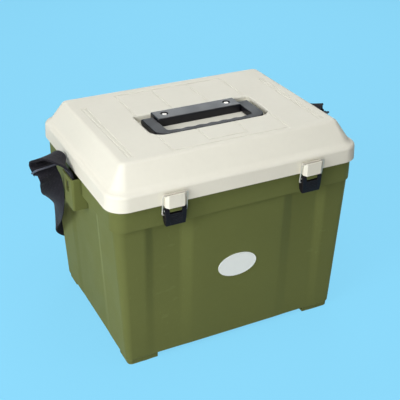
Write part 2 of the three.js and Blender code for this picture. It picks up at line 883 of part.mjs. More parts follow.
function backingPlate() {
  const top = recessUnder - gap;
  const plate = box(
    plateInset - clampHalfX,
    clampHalfX - plateInset,
    screwY - plateDepth / 2,
    screwY + plateDepth / 2,
    top - plateThick,
    top,
  );
  return cut(
    plate,
    [-1, 1].map((s) =>
      rodZ(screwShank + pinGap, s * screwX, screwY, top - plateThick - overrun, top + overrun, 20),
    ),
  );
}

function handleNut() {
  const top = recessUnder - gap - plateThick - gap;
  const corner = nutFlats / Math.sqrt(3);
  const nut = rodZ(corner, 0, 0, top - nutHeight, top, 6);
  const hole = screwShank + gap;
  return cut(nut, [rodZ(hole, 0, 0, top - nutHeight - overrun, top + overrun, 20)]);
}

// The bail in plan: two arms and a front bar with a waved grip on its inner edge
function handleBail() {
  const front = recessFrontY + bailFrontGap;
  const outer = bailOuterX;
  const inner = bailInnerX;
  const barBack = front + bailBarDepth;
  const gripHalfX = inner - gripInset;
  const r = bailCorner;
  const q = bailInnerCorner;
  const plan = new THREE.Shape();
  plan.moveTo(-outer, pivotY);
  plan.lineTo(-outer, front + r);
  plan.absarc(-outer + r, front + r, r, Math.PI, 1.5 * Math.PI, false);
  plan.lineTo(outer - r, front);
  plan.absarc(outer - r, front + r, r, -Math.PI / 2, 0, false);
  plan.lineTo(outer, pivotY);
  plan.lineTo(inner, pivotY);
  plan.lineTo(inner, barBack + q);
  plan.quadraticCurveTo(inner, barBack, inner - q, barBack);
  const steps = gripWaves * 8;
  for (let i = 0; i <= steps; i++) {
    const x = gripHalfX * (1 - (2 * i) / steps);
    const wave = (1 - Math.cos((2 * Math.PI * gripWaves * i) / steps)) / 2;
    plan.lineTo(x, barBack - gripWaveDepth * wave);
  }
  plan.lineTo(-inner + q, barBack);
  plan.quadraticCurveTo(-inner, barBack, -inner, barBack + q);
  plan.lineTo(-inner, pivotY);
  const [z0, z1] = [pivotZ - bailHeight / 2, pivotZ + bailHeight / 2];
  const pieces = [prismZ(plan, z0, z1)];
  for (const s of [-1, 1]) {
    const arm = [s * inner, s * outer].sort((a, b) => a - b);
    const tip = inner - trunnionLength + runGap;
    const pin = [s * tip, s * (inner + sink)].sort((a, b) => a - b);
    pieces.push(rodX(bailHeight / 2, ...arm, pivotY, pivotZ, 24));
    pieces.push(rodX(trunnionRadius, ...pin, pivotY, pivotZ, 24));
  }
  return joined(pieces);
}

// Latch

// A lever about its own pin: a front shell with side flanges, two ears and a ribbed face
function latchLever() {
  const face = -earRadius;
  const toe = -leverLength;
  const profile = [
    [earRadius, 0],
    [leverBack, -wireDrop + earRadius / 2],
    [leverBack, toe * 0.8],
    [leverShell, toe],
    [face + sink * 2.5, toe],
    [face + sink, toe + sink],
    [face, toe * 0.55],
    [face, 0],
  ];
  const body = prismX(profile, -leverHalfX, leverHalfX).add(
    rodX(earRadius, -leverHalfX, leverHalfX, 0, 0, 24),
  );
  const earInner = leverHalfX - earWidth;
  const bodyTop = -lugRadius - 2 * runGap - gap;
  const window = box(-earInner, earInner, -earRadius * 3, earRadius * 3, bodyTop, earRadius * 2);
  // the hollow behind the face, between the flanges
  const hollowX = leverHalfX - leverShell - sink;
  const hollow = prismX(
    [
      [face + leverShell + sink, bodyTop - leverShell],
      [leverBack * 2, bodyTop - leverShell],
      [leverBack * 2, toe + leverShell],
      [face + leverShell + sink, toe + leverShell],
    ],
    -hollowX,
    hollowX,
  );
  const ribs = [];
  for (let i = 0; i < leverRibs; i++) {
    const z = bodyTop - leverRibPitch * (i + 1);
    const half = leverRibPitch / 6;
    ribs.push(box(-earInner, earInner, face - overrun, face + leverRibDepth, z - half, z + half));
  }
  // both sides draw in towards the toe
  const sides = [-1, 1].map((s) => {
    const wedge = new THREE.Shape([
      new THREE.Vector2(s * leverHalfX, bodyTop),
      new THREE.Vector2(s * (leverHalfX + overrun), bodyTop),
      new THREE.Vector2(s * (leverHalfX + overrun), toe - overrun),
      new THREE.Vector2(s * (leverHalfX - leverToeDraw), toe - overrun),
    ]);
    const geometry = new THREE.ExtrudeGeometry(wedge, { depth: leverBack * 4, bevelEnabled: false });
    geometry.rotateX(Math.PI / 2);
    geometry.translate(0, leverBack * 2, 0);
    return solid(geometry);
  });
  const wide = leverHalfX + overrun;
  return cut(body, [
    window,
    hollow,
    ...ribs,
    ...sides,
    rodX(leverPinRadius + pinGap, -wide, wide, 0, 0, 16),
    rodX(wireRadius + pinGap, -wide, wide, wireBack, -wireDrop, 16),
  ]);
}

function latchPin() {
  return rodX(leverPinRadius, -leverHalfX, leverHalfX, 0, 0, 16);
}

// The wire hoop: both ends turn in through the lever's flanges, and its crossbar lies on the catch
function latchWire() {
  const rise = Math.hypot(wireRise + wireDrop, wireOut + wireBack);
  const end = leverHalfX - leverShell - sink / 4;
  const route = new THREE.CurvePath();
  const at = (x, z) => new THREE.Vector3(x, 0, z);
  const bend = (x0, z0, x1, z1, x2, z2) =>
    route.add(new THREE.QuadraticBezierCurve3(at(x0, z0), at(x1, z1), at(x2, z2)));
  const line = (x0, z0, x1, z1) => route.add(new THREE.LineCurve3(at(x0, z0), at(x1, z1)));
  const w = wireHalfX;
  const b = wireBend;
  line(-end, 0, -w + b / 2, 0);
  bend(-w + b / 2, 0, -w, 0, -w, b / 2);
  line(-w, b / 2, -w, rise - b);
  bend(-w, rise - b, -w, rise, -w + b, rise);
  line(-w + b, rise, w - b, rise);
  bend(w - b, rise, w, rise, w, rise - b);
  line(w, rise - b, w, b / 2);
  bend(w, b / 2, w, 0, w - b / 2, 0);
  line(w - b / 2, 0, end, 0);
  const stations = [];
  route.curves.forEach((curve, index) => {
    const steps = curve.isLineCurve3 ? 1 : 4;
    for (let i = index ? 1 : 0; i <= steps; i++) {
      const tangent = curve.getTangent(i / steps);
      stations.push({ p: curve.getPoint(i / steps), t: tangent });
    }
  });
  const normal = new THREE.Vector3(0, 1, 0);
  const sides = 8;
  const rings = stations.map(({ p, t }) => {
    const across = new THREE.Vector3().crossVectors(normal, t).normalize();
    return Array.from({ length: sides }, (_, i) => {
      const turn = (2 * Math.PI * i) / sides;
      return p
        .clone()
        .addScaledVector(across, wireRadius * Math.cos(turn))
        .addScaledVector(normal, -wireRadius * Math.sin(turn));
    });
  });
  return loft(rings);
}

// Label

function label() {
  const plate = new THREE.Shape();
  plate.absellipse(0, 0, labelHalfX, labelHalfZ, 0, 2 * Math.PI, false, 0);
  const geometry = new THREE.ExtrudeGeometry(plate, {
    depth: labelThick,
    bevelEnabled: false,
    curveSegments: 40,
  });
  return solid(geometry);
}

// Strap

// A flat band through stations of a place p, a direction across its width and one through it
function ribbon(stations, halfWidth, thick) {
  const rings = stations.map(({ p, across, through }) =>
    [
      [-1, -1],
      [1, -1],
      [1, 1],
      [-1, 1],
    ].map(([a, b]) =>
      p
        .clone()
        .addScaledVector(across, a * halfWidth)
        .addScaledVector(through, (b * thick) / 2),
    ),
  );
  return loft(rings);
}

// Stations along a smooth curve through points, whose width turns from one direction to the next
function bandStations(points, acrosses, steps) {
  const route = new THREE.CatmullRomCurve3(points, false, "centripetal");
  const widths = new THREE.CatmullRomCurve3(acrosses, false, "centripetal");
  return Array.from({ length: steps + 1 }, (_, i) => {
    const share = i / steps;
    const p = route.getPoint(share);
    const t = route.getTangent(share);
    const across = widths.getPoint(share);
    across.addScaledVector(t, -across.dot(t)).normalize();
    const through = new THREE.Vector3().crossVectors(t, across).normalize();
    return { p, t, across, through };
  });
}

// The direction across a band at each point of its route, from the way its face looks there
function acrossFrom(points, faces) {
  const route = new THREE.CatmullRomCurve3(points, false, "centripetal");
  return faces.map((face, i) => {
    const tangent = route.getTangent(i / (points.length - 1));
    return new THREE.Vector3().crossVectors(tangent, face).normalize();
  });
}

const degrees = Math.PI / 180;
const mirrorX = (v) => new THREE.Vector3(-v.x, v.y, v.z);

// The left adjuster's own axes: along its length, across its plate and square to it
const plateU = new THREE.Vector3(Math.cos(adjusterTurn * degrees), Math.sin(adjusterTurn * degrees), 0);
const plateS = new THREE.Vector3(0, 0, 1)
  .cross(plateU)
  .multiplyScalar(Math.cos(adjusterTilt * degrees))
  .add(new THREE.Vector3(0, 0, -Math.sin(adjusterTilt * degrees)));
const plateN = new THREE.Vector3().crossVectors(plateU, plateS);
const plateCentre = new THREE.Vector3(-adjusterX, adjusterY, adjusterZ);
const onPlate = (s, n) => plateCentre.clone().addScaledVector(plateS, s).addScaledVector(plateN, n);
const rearBar = adjusterMiddleBar / 2 + adjusterSlot + adjusterBar / 2;

function adjuster() {
  const halfDepth = rearBar + adjusterBar / 2;
  const plate = new THREE.Shape();
  const [u, r] = [adjusterHalf, adjusterBar];
  plate.moveTo(-u + r, -halfDepth);
  plate.lineTo(u - r, -halfDepth);
  plate.absarc(u - r, -halfDepth + r, r, -Math.PI / 2, 0, false);
  plate.lineTo(u, halfDepth - r);
  plate.absarc(u - r, halfDepth - r, r, 0, Math.PI / 2, false);
  plate.lineTo(-u + r, halfDepth);
  plate.absarc(-u + r, halfDepth - r, r, Math.PI / 2, Math.PI, false);
  plate.lineTo(-u, -halfDepth + r);
  plate.absarc(-u + r, -halfDepth + r, r, Math.PI, 1.5 * Math.PI, false);
  const body = prismZ(plate, -adjusterThick / 2, adjusterThick / 2);
  const slotU = strapHalf + 2 * strapAir;
  const near = adjusterMiddleBar / 2;
  return cut(
    body,
    [-1, 1].map((s) => {
      const [a, b] = s > 0 ? [near, near + adjusterSlot] : [-near - adjusterSlot, -near];
      return box(-slotU, slotU, a, b, -adjusterThick, adjusterThick);
    }),
  );
}

// Half of the main webbing, from its tail in the left adjuster to the middle of the back.
// The route is the strap's fall beside and behind the tub, in shares of the rim's half width,
// half depth and height.
const strapRouteShares = [
  [-1.145, 0.094, 0.925],
  [-1.13, 0.135, 0.85],
  [-1.1, 0.225, 0.765],
  [-1.053, 0.385, 0.665],
  [-1.004, 0.635, 0.545],
  [-0.96, 0.885, 0.415],
  [-0.83, 1.035, 0.3],
  [-0.62, 1.045, 0.23],
  [-0.32, 1.045, 0.19],
  [0, 1.045, 0.178],
];
// Which way the inner face of the band looks at each of those places, in degrees round Z from X
const strapFaceTurns = [86, 66, 40, 16, 0, -26, -62, -84, -90, -90];

function mainWebbing() {
  const wrap = adjusterMiddleBar / 2 + strapAir + strapThick / 2;
  const half = adjusterThick / 2;
  const start = [];
  const place = (s, n, ts, tn) => {
    const t = plateS.clone().multiplyScalar(ts).addScaledVector(plateN, tn).normalize();
    const through = new THREE.Vector3().crossVectors(t, plateU);
    start.push({ p: onPlate(s, n), across: plateU.clone(), through });
  };
  place(wrap, -adjusterTail, 0, 1);
  place(wrap, half, 0, 1);
  const turns = 6;
  for (let i = 1; i < turns; i++) {
    const turn = (Math.PI * i) / turns;
    place(wrap * Math.cos(turn), half + wrap * Math.sin(turn), -Math.sin(turn), Math.cos(turn));
  }
  place(-wrap, half, 0, -1);
  place(-wrap, -half, 0, -1);
  place(-wrap, -adjusterTail, 0, -1);
  const route = [
    onPlate(-wrap, -adjusterTail),
    onPlate(-wrap, -2 * adjusterTail),
    ...strapRouteShares.map(([x, y, z]) => new THREE.Vector3(x * rimHalfX, y * rimHalfY, z * rimBottom)),
  ];
  const faces = strapFaceTurns.map((turn) => {
    const angle = turn * degrees;
    return new THREE.Vector3(Math.cos(angle), Math.sin(angle), 0);
  });
  const widths = acrossFrom(route, [plateS, plateS, ...faces]);
  const fall = bandStations(route, widths, 48).slice(1);
  const left = [...start, ...fall];
  // the last station lies on the middle plane, and the right half mirrors the left
  const last = left[left.length - 1];
  last.p.x = 0;
  last.across.set(0, 0, 1);
  last.through.set(0, -1, 0);
  const right = left
    .slice(0, -1)
    .toReversed()
    .map(({ p, across, through }) => ({
      p: mirrorX(p),
      across: mirrorX(across),
      through: mirrorX(through),
    }));
  return ribbon([...left, ...right], strapHalf, strapThick);
}

// The left end loop: one strip round the bar in the tub's boss and round the adjuster's rear bar
function strapEndStations() {
  const layer = strapThick / 2 + strapAir / 2;
  const bossWrap = bossBarRadius + strapAir + strapThick / 2;
  const plateWrap = adjusterBar / 2 + strapAir + strapThick / 2;
  const bar = new THREE.Vector3(-bossBarX, bossY, bossBarZ);
  const up = new THREE.Vector3(0, 0, 1);
  const along = new THREE.Vector3(0, 1, 0);
  const centre = (x, y, z) =>
    new THREE.Vector3(
      -bossBarX - x * adjusterOut,
      bossY + y * adjusterBack,
      bossTop + z * bossBarDrop,
    );
  // the middle line between the two layers, from the boss's mouth over the crest to the adjuster
  const points = [
    bar.clone().addScaledVector(up, bossWrap),
    centre(0.07, 0, 0),
    centre(0.17, 0.05, 0.55),
    centre(0.34, 0.32, 1.15),
    centre(0.58, 0.8, 1.42),
    centre(0.84, 1.25, 1.28),
    onPlate(rearBar + layer, 5 * adjusterThick),
    onPlate(rearBar, adjusterThick),
    onPlate(rearBar, -adjusterThick / 2),
  ];
  const widths = [
    along,
    along,
    along,
    new THREE.Vector3(0.5, 0.85, 0),
    new THREE.Vector3(0.75, 0.65, 0),
    new THREE.Vector3(0.92, 0.4, 0),
    plateU,
    plateU,
    plateU,
  ];
  const middle = bandStations(points, widths, 24);
  const inner = middle.length - 1;
  // each layer lies beside the middle line, and parts from it to pass its bar
  const offset = (i, side) => {
    const spans = points.length - 1;
    const from = (spans * i) / inner;
    const nearBoss = THREE.MathUtils.clamp(1 - from, 0, 1);
    const nearPlate = THREE.MathUtils.clamp(2 - spans + from, 0, 1);
    const size = layer + (bossWrap - layer) * nearBoss + (plateWrap - layer) * nearPlate;
    const m = middle[i];
    return { p: m.p.clone().addScaledVector(m.through, side * size), across: m.across, through: m.through };
  };
  const stations = [];
  const startAt = inner - 6;
  for (let i = startAt; i >= 0; i--) stations.push(offset(i, 1));
  const turns = 8;
  const first = middle[0].through;
  for (let i = 0; i <= turns; i++) {
    const turn = (Math.PI * i) / turns;
    const direction = first
      .clone()
      .multiplyScalar(Math.cos(turn))
      .addScaledVector(up, -Math.sin(turn));
    stations.push({
      p: bar.clone().addScaledVector(direction, bossWrap),
      across: along,
      through: direction,
    });
  }
  for (let i = 0; i <= inner; i++) {
    const s = offset(i, -1);
    stations.push({ ...s, through: s.through.clone().negate() });
  }
  const lastThrough = middle[inner].through;
  const rear = onPlate(rearBar, -adjusterThick / 2);
  for (let i = 0; i <= turns; i++) {
    const turn = (Math.PI * i) / turns;
    const direction = lastThrough
      .clone()
      .multiplyScalar(-Math.cos(turn))
      .addScaledVector(plateN, -Math.sin(turn));
    const p = rear.clone().addScaledVector(direction, plateWrap);
    stations.push({ p, across: plateU, through: direction });
  }
  for (let i = inner; i > startAt + 1; i--) stations.push(offset(i, 1));
  return stations;
}

function strapEnd(side) {
  const placed = strapEndStations().map(({ p, across, through }) =>
    side < 0
      ? { p, across, through }
      : { p: mirrorX(p), across: mirrorX(across).negate(), through: mirrorX(through) },
  );
  return ribbon(placed, strapHalf, strapThick);
}

// The object

const seatBox = new THREE.Group();
seatBox.add(mesh("tub", tub(), olive));

const lidGroup = new THREE.Group();
lidGroup.add(mesh("lid", lid(), cream));
lidGroup.add(mesh("handle_clamp", handleClamp(), black));
lidGroup.add(mesh("handle_bail", handleBail(), black));
lidGroup.add(mesh("handle_backing_plate", backingPlate(), zinc));
seatBox.add(lidGroup);

for (const [side, name] of [
  [-1, "left"],
  [1, "right"],
]) {
  const screw = mesh(`handle_screw_${name}`, handleScrew(), steel);
  screw.position.set(side * screwX, screwY, 0);
  const nut = mesh(`handle_nut_${name}`, handleNut(), zinc);
  nut.position.set(side * screwX, screwY, 0);
  lidGroup.add(screw, nut);

  const pinHalf = lidKnuckleHalf + runGap + tubKnuckle;
  const hingePin = rodX(hingePinRadius, -pinHalf, pinHalf, 0, 0, 16);
  const pin = mesh(`hinge_pin_${name}`, hingePin, steel);
  pin.position.set(side * hingeX, hingeY, hingeZ);
  seatBox.add(pin);

  const latch = new THREE.Group();
  latch.position.set(side * latchX, leverPinY, leverPinZ);
  latch.add(mesh(`latch_lever_${name}`, latchLever(), black));
  latch.add(mesh(`latch_pin_${name}`, latchPin(), steel));
  const wire = mesh(`latch_wire_${name}`, latchWire(), steel);
  wire.position.set(0, wireBack, -wireDrop);
  wire.rotation.x = Math.atan2(wireOut + wireBack, wireRise + wireDrop);
  latch.add(wire);
  seatBox.add(latch);

  seatBox.add(mesh(`strap_end_${name}`, strapEnd(side), webbing));

  const slide = mesh(`strap_adjuster_${name}`, adjuster(), grey);
  slide.position.set(side * adjusterX, adjusterY, adjusterZ);
  const turned = new THREE.Matrix4().makeBasis(plateU, plateS, plateN);
  slide.quaternion.setFromRotationMatrix(turned);
  if (side > 0) {
    const flipped = new THREE.Matrix4().makeBasis(
      mirrorX(plateU).negate(),
      mirrorX(plateS),
      mirrorX(plateN),
    );
    slide.quaternion.setFromRotationMatrix(flipped);
  }
  seatBox.add(slide);
}

seatBox.add(mesh("strap_webbing", mainWebbing(), webbing));

const [, wallY] = bodyAt(labelHeight);
const wallLean = Math.atan2(bodyTopHalfY - bodyBottomHalfY, bandBottom - footHeight);
const plate = mesh("label", label(), white);
plate.position.set(0, -wallY - gap, labelHeight);
plate.rotation.x = Math.PI / 2 + wallLean;
seatBox.add(plate);

export default seatBox;
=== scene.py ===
"""Fishing seat box: a moulded tub, a lid to sit on, a sunken handle, latches and a strap.

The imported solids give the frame. Each visible piece is modelled here in the place of the solid
that it stands for, in metres, with +Z up and the front of the box facing -Y.
"""

import math
from contextlib import contextmanager

import bmesh
import bpy
from bpy.props import FloatProperty, FloatVectorProperty, IntProperty, PointerProperty
from mathutils import Matrix, Vector


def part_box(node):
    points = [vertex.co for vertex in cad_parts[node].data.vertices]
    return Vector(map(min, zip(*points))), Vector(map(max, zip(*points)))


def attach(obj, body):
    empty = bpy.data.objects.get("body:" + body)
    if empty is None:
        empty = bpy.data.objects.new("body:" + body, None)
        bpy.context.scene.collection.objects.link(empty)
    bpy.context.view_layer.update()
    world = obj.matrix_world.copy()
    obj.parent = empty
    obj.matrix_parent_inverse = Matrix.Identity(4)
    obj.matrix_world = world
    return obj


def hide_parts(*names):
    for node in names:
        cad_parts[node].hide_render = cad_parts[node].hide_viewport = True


bl_info = {
    "name": "Fishing seat box",
    "version": (1, 0, 0),
    "blender": (4, 5, 0),
    "location": "3D View > Sidebar > Seat box",
    "description": "Models a fishing seat box round its packed frame, with its finishes and stage",
    "category": "Object",
}

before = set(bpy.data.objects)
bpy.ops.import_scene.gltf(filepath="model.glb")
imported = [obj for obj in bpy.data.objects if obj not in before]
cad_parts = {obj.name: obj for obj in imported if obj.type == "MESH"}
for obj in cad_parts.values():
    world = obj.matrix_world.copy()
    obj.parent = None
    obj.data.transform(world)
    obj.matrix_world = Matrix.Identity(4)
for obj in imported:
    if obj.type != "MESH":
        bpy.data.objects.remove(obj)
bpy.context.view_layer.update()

MM = 0.001
NEAR = 0.02 * MM
SIDES = {"left": -1, "right": 1}
CORNERS = [(sx, sy) for sx in SIDES.values() for sy in SIDES.values()]
ALONG, UP = Vector((1, 0, 0)), Vector((0, 0, 1))

# Radii of the holes for the hinge pins, the latch pins and the handle's screws
HINGE_BORE, LATCH_BORE, SCREW_BORE = 2.35 * MM, 1.95 * MM, 2.85 * MM

# The rounding that knuckles, levers and pins share
FINE_ROUND = 0.5 * MM


# Settings

def length(name, millimetres, description):
    """A size that is kept in metres and given in millimetres."""
    return FloatProperty(
        name=name,
        description=description,
        default=millimetres * MM,
        precision=4,
        subtype="DISTANCE",
        unit="LENGTH",
    )


def colour(name, value, description):
    """A linear colour."""
    return FloatVectorProperty(
        name=name, description=description, default=value, min=0.0, max=1.0, size=3, subtype="COLOR"
    )


class LidSettings(bpy.types.PropertyGroup):
    """Sizes of the lid."""

    width: length("Rim width", 450, "Width of the lid's rim")
    depth: length("Rim depth", 341.4, "Depth of the lid's rim, front to back")
    corner: length("Rim corner", 32, "Radius of the rim's corners in plan")
    rim_height: length("Rim height", 25.5, "Height of the upright rim")
    draft: length("Draft", 1.2, "How far the rim draws in towards its top")
    shelf: length("Shelf", 8.8, "Width of the small ledge between the rim and the shoulder")
    shelf_rise: length("Shelf rise", 3.2, "Rise of that ledge")
    shoulder_rise: length("Shoulder rise", 36.3, "Height of the sloping shoulder")
    seat_width: length("Seat width", 385, "Width of the flat seat")
    seat_depth: length("Seat depth", 274.4, "Depth of the flat seat, front to back")
    seat_corner: length("Seat corner", 9, "Radius of the seat's corners in plan")
    wall: length("Wall", 3, "Wall thickness of the moulding")
    recess_depth: length("Recess depth", 12, "Depth of the handle recess")
    groove_width: length("Groove width", 3.6, "Width of the grooves in the seat")
    groove_depth: length("Groove depth", 0.7, "Depth of the grooves in the seat")


class TubSettings(bpy.types.PropertyGroup):
    """Sizes of the tub."""

    band_width: length("Band width", 437, "Width of the band round the mouth")
    band_depth: length("Band depth", 326.4, "Depth of the band round the mouth")
    band_corner: length("Band corner", 23, "Radius of the band's corners")
    band_bottom: length("Band bottom", 265, "Height of the band's lower edge")
    base_width: length("Base width", 402, "Width of the body at its floor")
    base_depth: length("Base depth", 306, "Depth of the body at its floor")
    corner: length("Corner at the floor", 10, "Radius of the body's corners at its floor")
    top_corner: length("Corner under the band", 16, "Radius of the body's corners under the band")
    draft_x: length("Side draft", 13.5, "How far each side leans out towards the band")
    draft_y: length("Front draft", 6.2, "How far the front and back lean out towards the band")
    flute_depth: length("Flute depth", 7, "Depth of the front and back flutes under the band")
    side_depth: length("Side recess", 4.5, "Depth of the recess in each side under the band")
    pressed_foot: length("Depth at the floor", 0.6, "Depth that flutes and recesses run out to")
    foot_height: length("Foot height", 9.5, "Height of the floor above the ground")
    wall: length("Wall", 3, "Wall thickness of the moulding")


class HandleSettings(bpy.types.PropertyGroup):
    """Sizes of the handle, and the waves of its grip."""

    arm: length("Arm width", 21.4, "Width of each arm of the bail")
    bar: length("Bar depth", 12.5, "Depth of the bail's front bar")
    waves: IntProperty(
        name="Grip waves", description="Finger waves along the grip", default=6, min=0
    )
    wave_depth: length("Wave depth", 2.2, "Depth of the finger waves")
    clamp_chamfer: length("Clamp chamfer", 1.8, "Chamfer along the clamp's top edges")


class LatchSettings(bpy.types.PropertyGroup):
    """Sizes of the latches, and the ribs of their levers."""

    ribs: IntProperty(name="Lever ribs", description="Grip ribs on each lever", default=5, min=0)
    wire: length("Wire", 2.3, "Diameter of the latch's wire")
    catch_width: length("Catch width", 34.8, "Width of the catch on the lid")


class StrapSettings(bpy.types.PropertyGroup):
    """Sizes of the shoulder strap."""

    width: length("Strap width", 38, "Width of the webbing")
    thickness: length("Strap thickness", 1.6, "Thickness of the webbing")
    rib_pitch: length("Rib pitch", 1.9, "Distance between the webbing's woven ribs")


class FinishSettings(bpy.types.PropertyGroup):
    """Colours of the mouldings, the webbing and the metal."""

    tub: colour("Tub", (0.14, 0.161, 0.05), "Olive green moulding")
    lid: colour("Lid", (0.845, 0.826, 0.717), "Cream moulding")
    black: colour("Black parts", (0.008, 0.0075, 0.0105), "Handle and latch levers")
    webbing: colour("Webbing", (0.02, 0.019, 0.026), "Shoulder strap")
    adjuster: colour("Adjuster", (0.1, 0.108, 0.14), "Slide adjusters of the strap")
    steel: colour("Steel", (0.72, 0.69, 0.65), "Wires, pins and screws")
    plate: colour("Label plate", (0.93, 0.98, 0.95), "Bare oval plate")


class StageSettings(bpy.types.PropertyGroup):
    """The colour round the box, and the place of the camera."""

    backdrop: colour("Backdrop", (0.262, 0.694, 0.956), "Pale blue floor and wall")
    azimuth: FloatProperty(
        name="Azimuth", description="Camera's turn round the box, in degrees", default=-26.93
    )
    elevation: FloatProperty(
        name="Elevation", description="Camera's height above the horizon, in degrees", default=28.98
    )
    roll: FloatProperty(name="Roll", description="Camera's roll, in degrees", default=0.63)
    distance: length("Distance", 1513.3, "From the camera to the point that it looks at")
    focal: FloatProperty(name="Focal length", description="In pixels of the frame", default=831.5)


SETTINGS = {
    "seat_box_lid": LidSettings,
    "seat_box_tub": TubSettings,
    "seat_box_handle": HandleSettings,
    "seat_box_latch": LatchSettings,
    "seat_box_strap": StrapSettings,
    "seat_box_finish": FinishSettings,
    "seat_box_stage": StageSettings,
}


# Places that the frame gives

def lid_places(lid):
    """Heights of the lid's seat, rim and recess."""
    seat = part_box("lid")[1].z
    rim_bottom = seat - lid.shoulder_rise - lid.shelf_rise - lid.rim_height
    return {
        "seat": seat,
        "rim_bottom": rim_bottom,
        "rim_top": rim_bottom + lid.rim_height,
        "shelf": rim_bottom + lid.rim_height + lid.shelf_rise,
        "recess_floor": seat - lid.recess_depth,
    }


def middle(node):
    """The middle of a solid's box."""
    low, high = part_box(node)
    return (low + high) / 2


def pair(node):
    """The places across the box, left and right, of two mirrored solids."""
    reach = abs(middle(f"{node}_left").x)
    return [s * reach for s in SIDES.values()]


def spread(half):
    """The limits of a width that is centred on the box."""
    return -half, half


# Modelling tools

def select_only(piece):
    """Selects one piece alone and makes it the active one."""
    bpy.ops.object.select_all(action="DESELECT")
    piece.select_set(True)
    bpy.context.view_layer.objects.active = piece


def settle(piece):
    """Moves a piece's place, turn and scale into its mesh."""
    select_only(piece)
    bpy.ops.object.transform_apply(location=True, rotation=True, scale=True)
    return piece


@contextmanager
def edit_mode(piece):
    """Edit mode on one piece, with nothing selected in it at first."""
    select_only(piece)
    bpy.ops.object.mode_set(mode="EDIT")
    bpy.ops.mesh.select_all(action="DESELECT")
    yield piece
    bpy.ops.object.mode_set(mode="OBJECT")


def choose(kind, test):
    """Selects the vertices, edges or faces that pass a test, on the piece in edit mode."""
    bpy.ops.mesh.select_mode(type=kind)
    bpy.ops.mesh.select_all(action="DESELECT")
    mesh = bpy.context.edit_object.data
    shape = bmesh.from_edit_mesh(mesh)
    for item in {"VERT": shape.verts, "EDGE": shape.edges, "FACE": shape.faces}[kind]:
        if test(item):
            item.select_set(True)
    bmesh.update_edit_mesh(mesh)


def every(_):
    """A test that every part passes."""
    return True


def at_height(*heights):
    """A test for an edge that lies level at one of some heights."""
    return lambda edge: any(all(abs(v.co.z - z) < NEAR for v in edge.verts) for z in heights)


def upright(edge):
    """A test for an edge that stands nearly straight up."""
    along = edge.verts[1].co - edge.verts[0].co
    return abs(along.z) > 0.9 * along.length


def round_edges(test, width, segments=3):
    """Bevels the edges that pass a test, on the piece in edit mode."""
    choose("EDGE", test)
    bpy.ops.mesh.bevel(offset=width, segments=segments, affect="EDGES", clamp_overlap=False)


def rise(height):
    """Draws the selected faces up."""
    bpy.ops.mesh.extrude_region_move(TRANSFORM_OT_translate={"value": (0, 0, height)})


def step(inset, height):
    """Draws the selected face in and up, with a new wall round it."""
    bpy.ops.mesh.inset(thickness=inset, depth=height, use_even_offset=True)


def outward(piece):
    """Turns the faces of a closed piece outwards."""
    with edit_mode(piece):
        bpy.ops.mesh.select_all(action="SELECT")
        bpy.ops.mesh.normals_make_consistent(inside=False)
    return piece


def modify(piece, kind, **values):
    """Adds a modifier with its values and applies it."""
    select_only(piece)
    modifier = piece.modifiers.new(kind.title(), kind)
    for key, value in values.items():
        setattr(modifier, key, value)
    bpy.ops.object.modifier_apply(modifier=modifier.name)
    return piece


def combine(piece, others, operation="DIFFERENCE"):
    """Cuts other pieces out of a piece, or joins or crosses them with it, and removes them."""
    for other in others:
        modify(piece, "BOOLEAN", operation=operation, object=other, solver="MANIFOLD")
        bpy.data.objects.remove(other)
    return piece


def gather(pieces, name):
    """Several pieces that don't touch, as one."""
    bpy.ops.object.select_all(action="DESELECT")
    for piece in pieces:
        piece.select_set(True)
    bpy.context.view_layer.objects.active = pieces[0]
    if len(pieces) > 1:
        bpy.ops.object.join()
    pieces[0].name = name
    return pieces[0]


def copied(piece, name):
    """A copy with its own mesh."""
    twin = piece.copy()
    twin.data = piece.data.copy()
    twin.name = name
    bpy.context.scene.collection.objects.link(twin)
    return twin


def mirrored(piece, name):
    """A copy on the other side of the box, with its faces outwards."""
    twin = copied(piece, name)
    twin.scale.x = -1
    settle(twin)
    return outward(twin)


def block(name, low, high, edge=0.0, segments=2):
    """A block between two corners, with its edges rounded."""
    low, high = Vector(low), Vector(high)
    bpy.ops.object.select_all(action="DESELECT")
    bpy.ops.mesh.primitive_cube_add(size=1, location=(low + high) / 2)
    piece = bpy.context.active_object
    piece.name = name
    piece.scale = high - low
    settle(piece)
    if edge:
        with edit_mode(piece):
            round_edges(every, edge, segments)
    return piece


def plate(name, x, y, z, corners, segments=10):
    """A flat face between x and y limits, with its front and back corners rounded."""
    front, back = corners
    bpy.ops.object.select_all(action="DESELECT")
    bpy.ops.mesh.primitive_plane_add(size=1, location=((x[0] + x[1]) / 2, (y[0] + y[1]) / 2, z))
    piece = bpy.context.active_object
    piece.name = name
    piece.scale = (x[1] - x[0], y[1] - y[0], 1)
    settle(piece)
    middle_y = (y[0] + y[1]) / 2
    with edit_mode(piece):
        for radius, test in (
            (front, lambda v: v.co.y < middle_y and abs(v.co.y - y[0]) < NEAR),
            (back, lambda v: v.co.y > middle_y and abs(v.co.y - y[1]) < NEAR),
        ):
            choose("VERT", test)
            bpy.ops.mesh.bevel(offset=radius, segments=segments, affect="VERTICES")
    return piece


def slab(name, x, y, z, corners, segments=10):
    """A plate drawn up from one height to another."""
    piece = plate(name, x, y, z[0], corners, segments)
    with edit_mode(piece):
        bpy.ops.mesh.select_all(action="SELECT")
        rise(z[1] - z[0])
    return outward(piece)


def extruded(name, points, reach):
    """A face through points in one plane, drawn out along reach."""
    bpy.ops.object.select_all(action="DESELECT")
    bpy.ops.mesh.primitive_circle_add(vertices=len(points), fill_type="NGON")
    piece = bpy.context.active_object
    piece.name = name
    for vertex, point in zip(piece.data.vertices, points):
        vertex.co = point
    with edit_mode(piece):
        bpy.ops.mesh.select_all(action="SELECT")
        bpy.ops.mesh.extrude_region_move(TRANSFORM_OT_translate={"value": reach})
    return outward(piece)


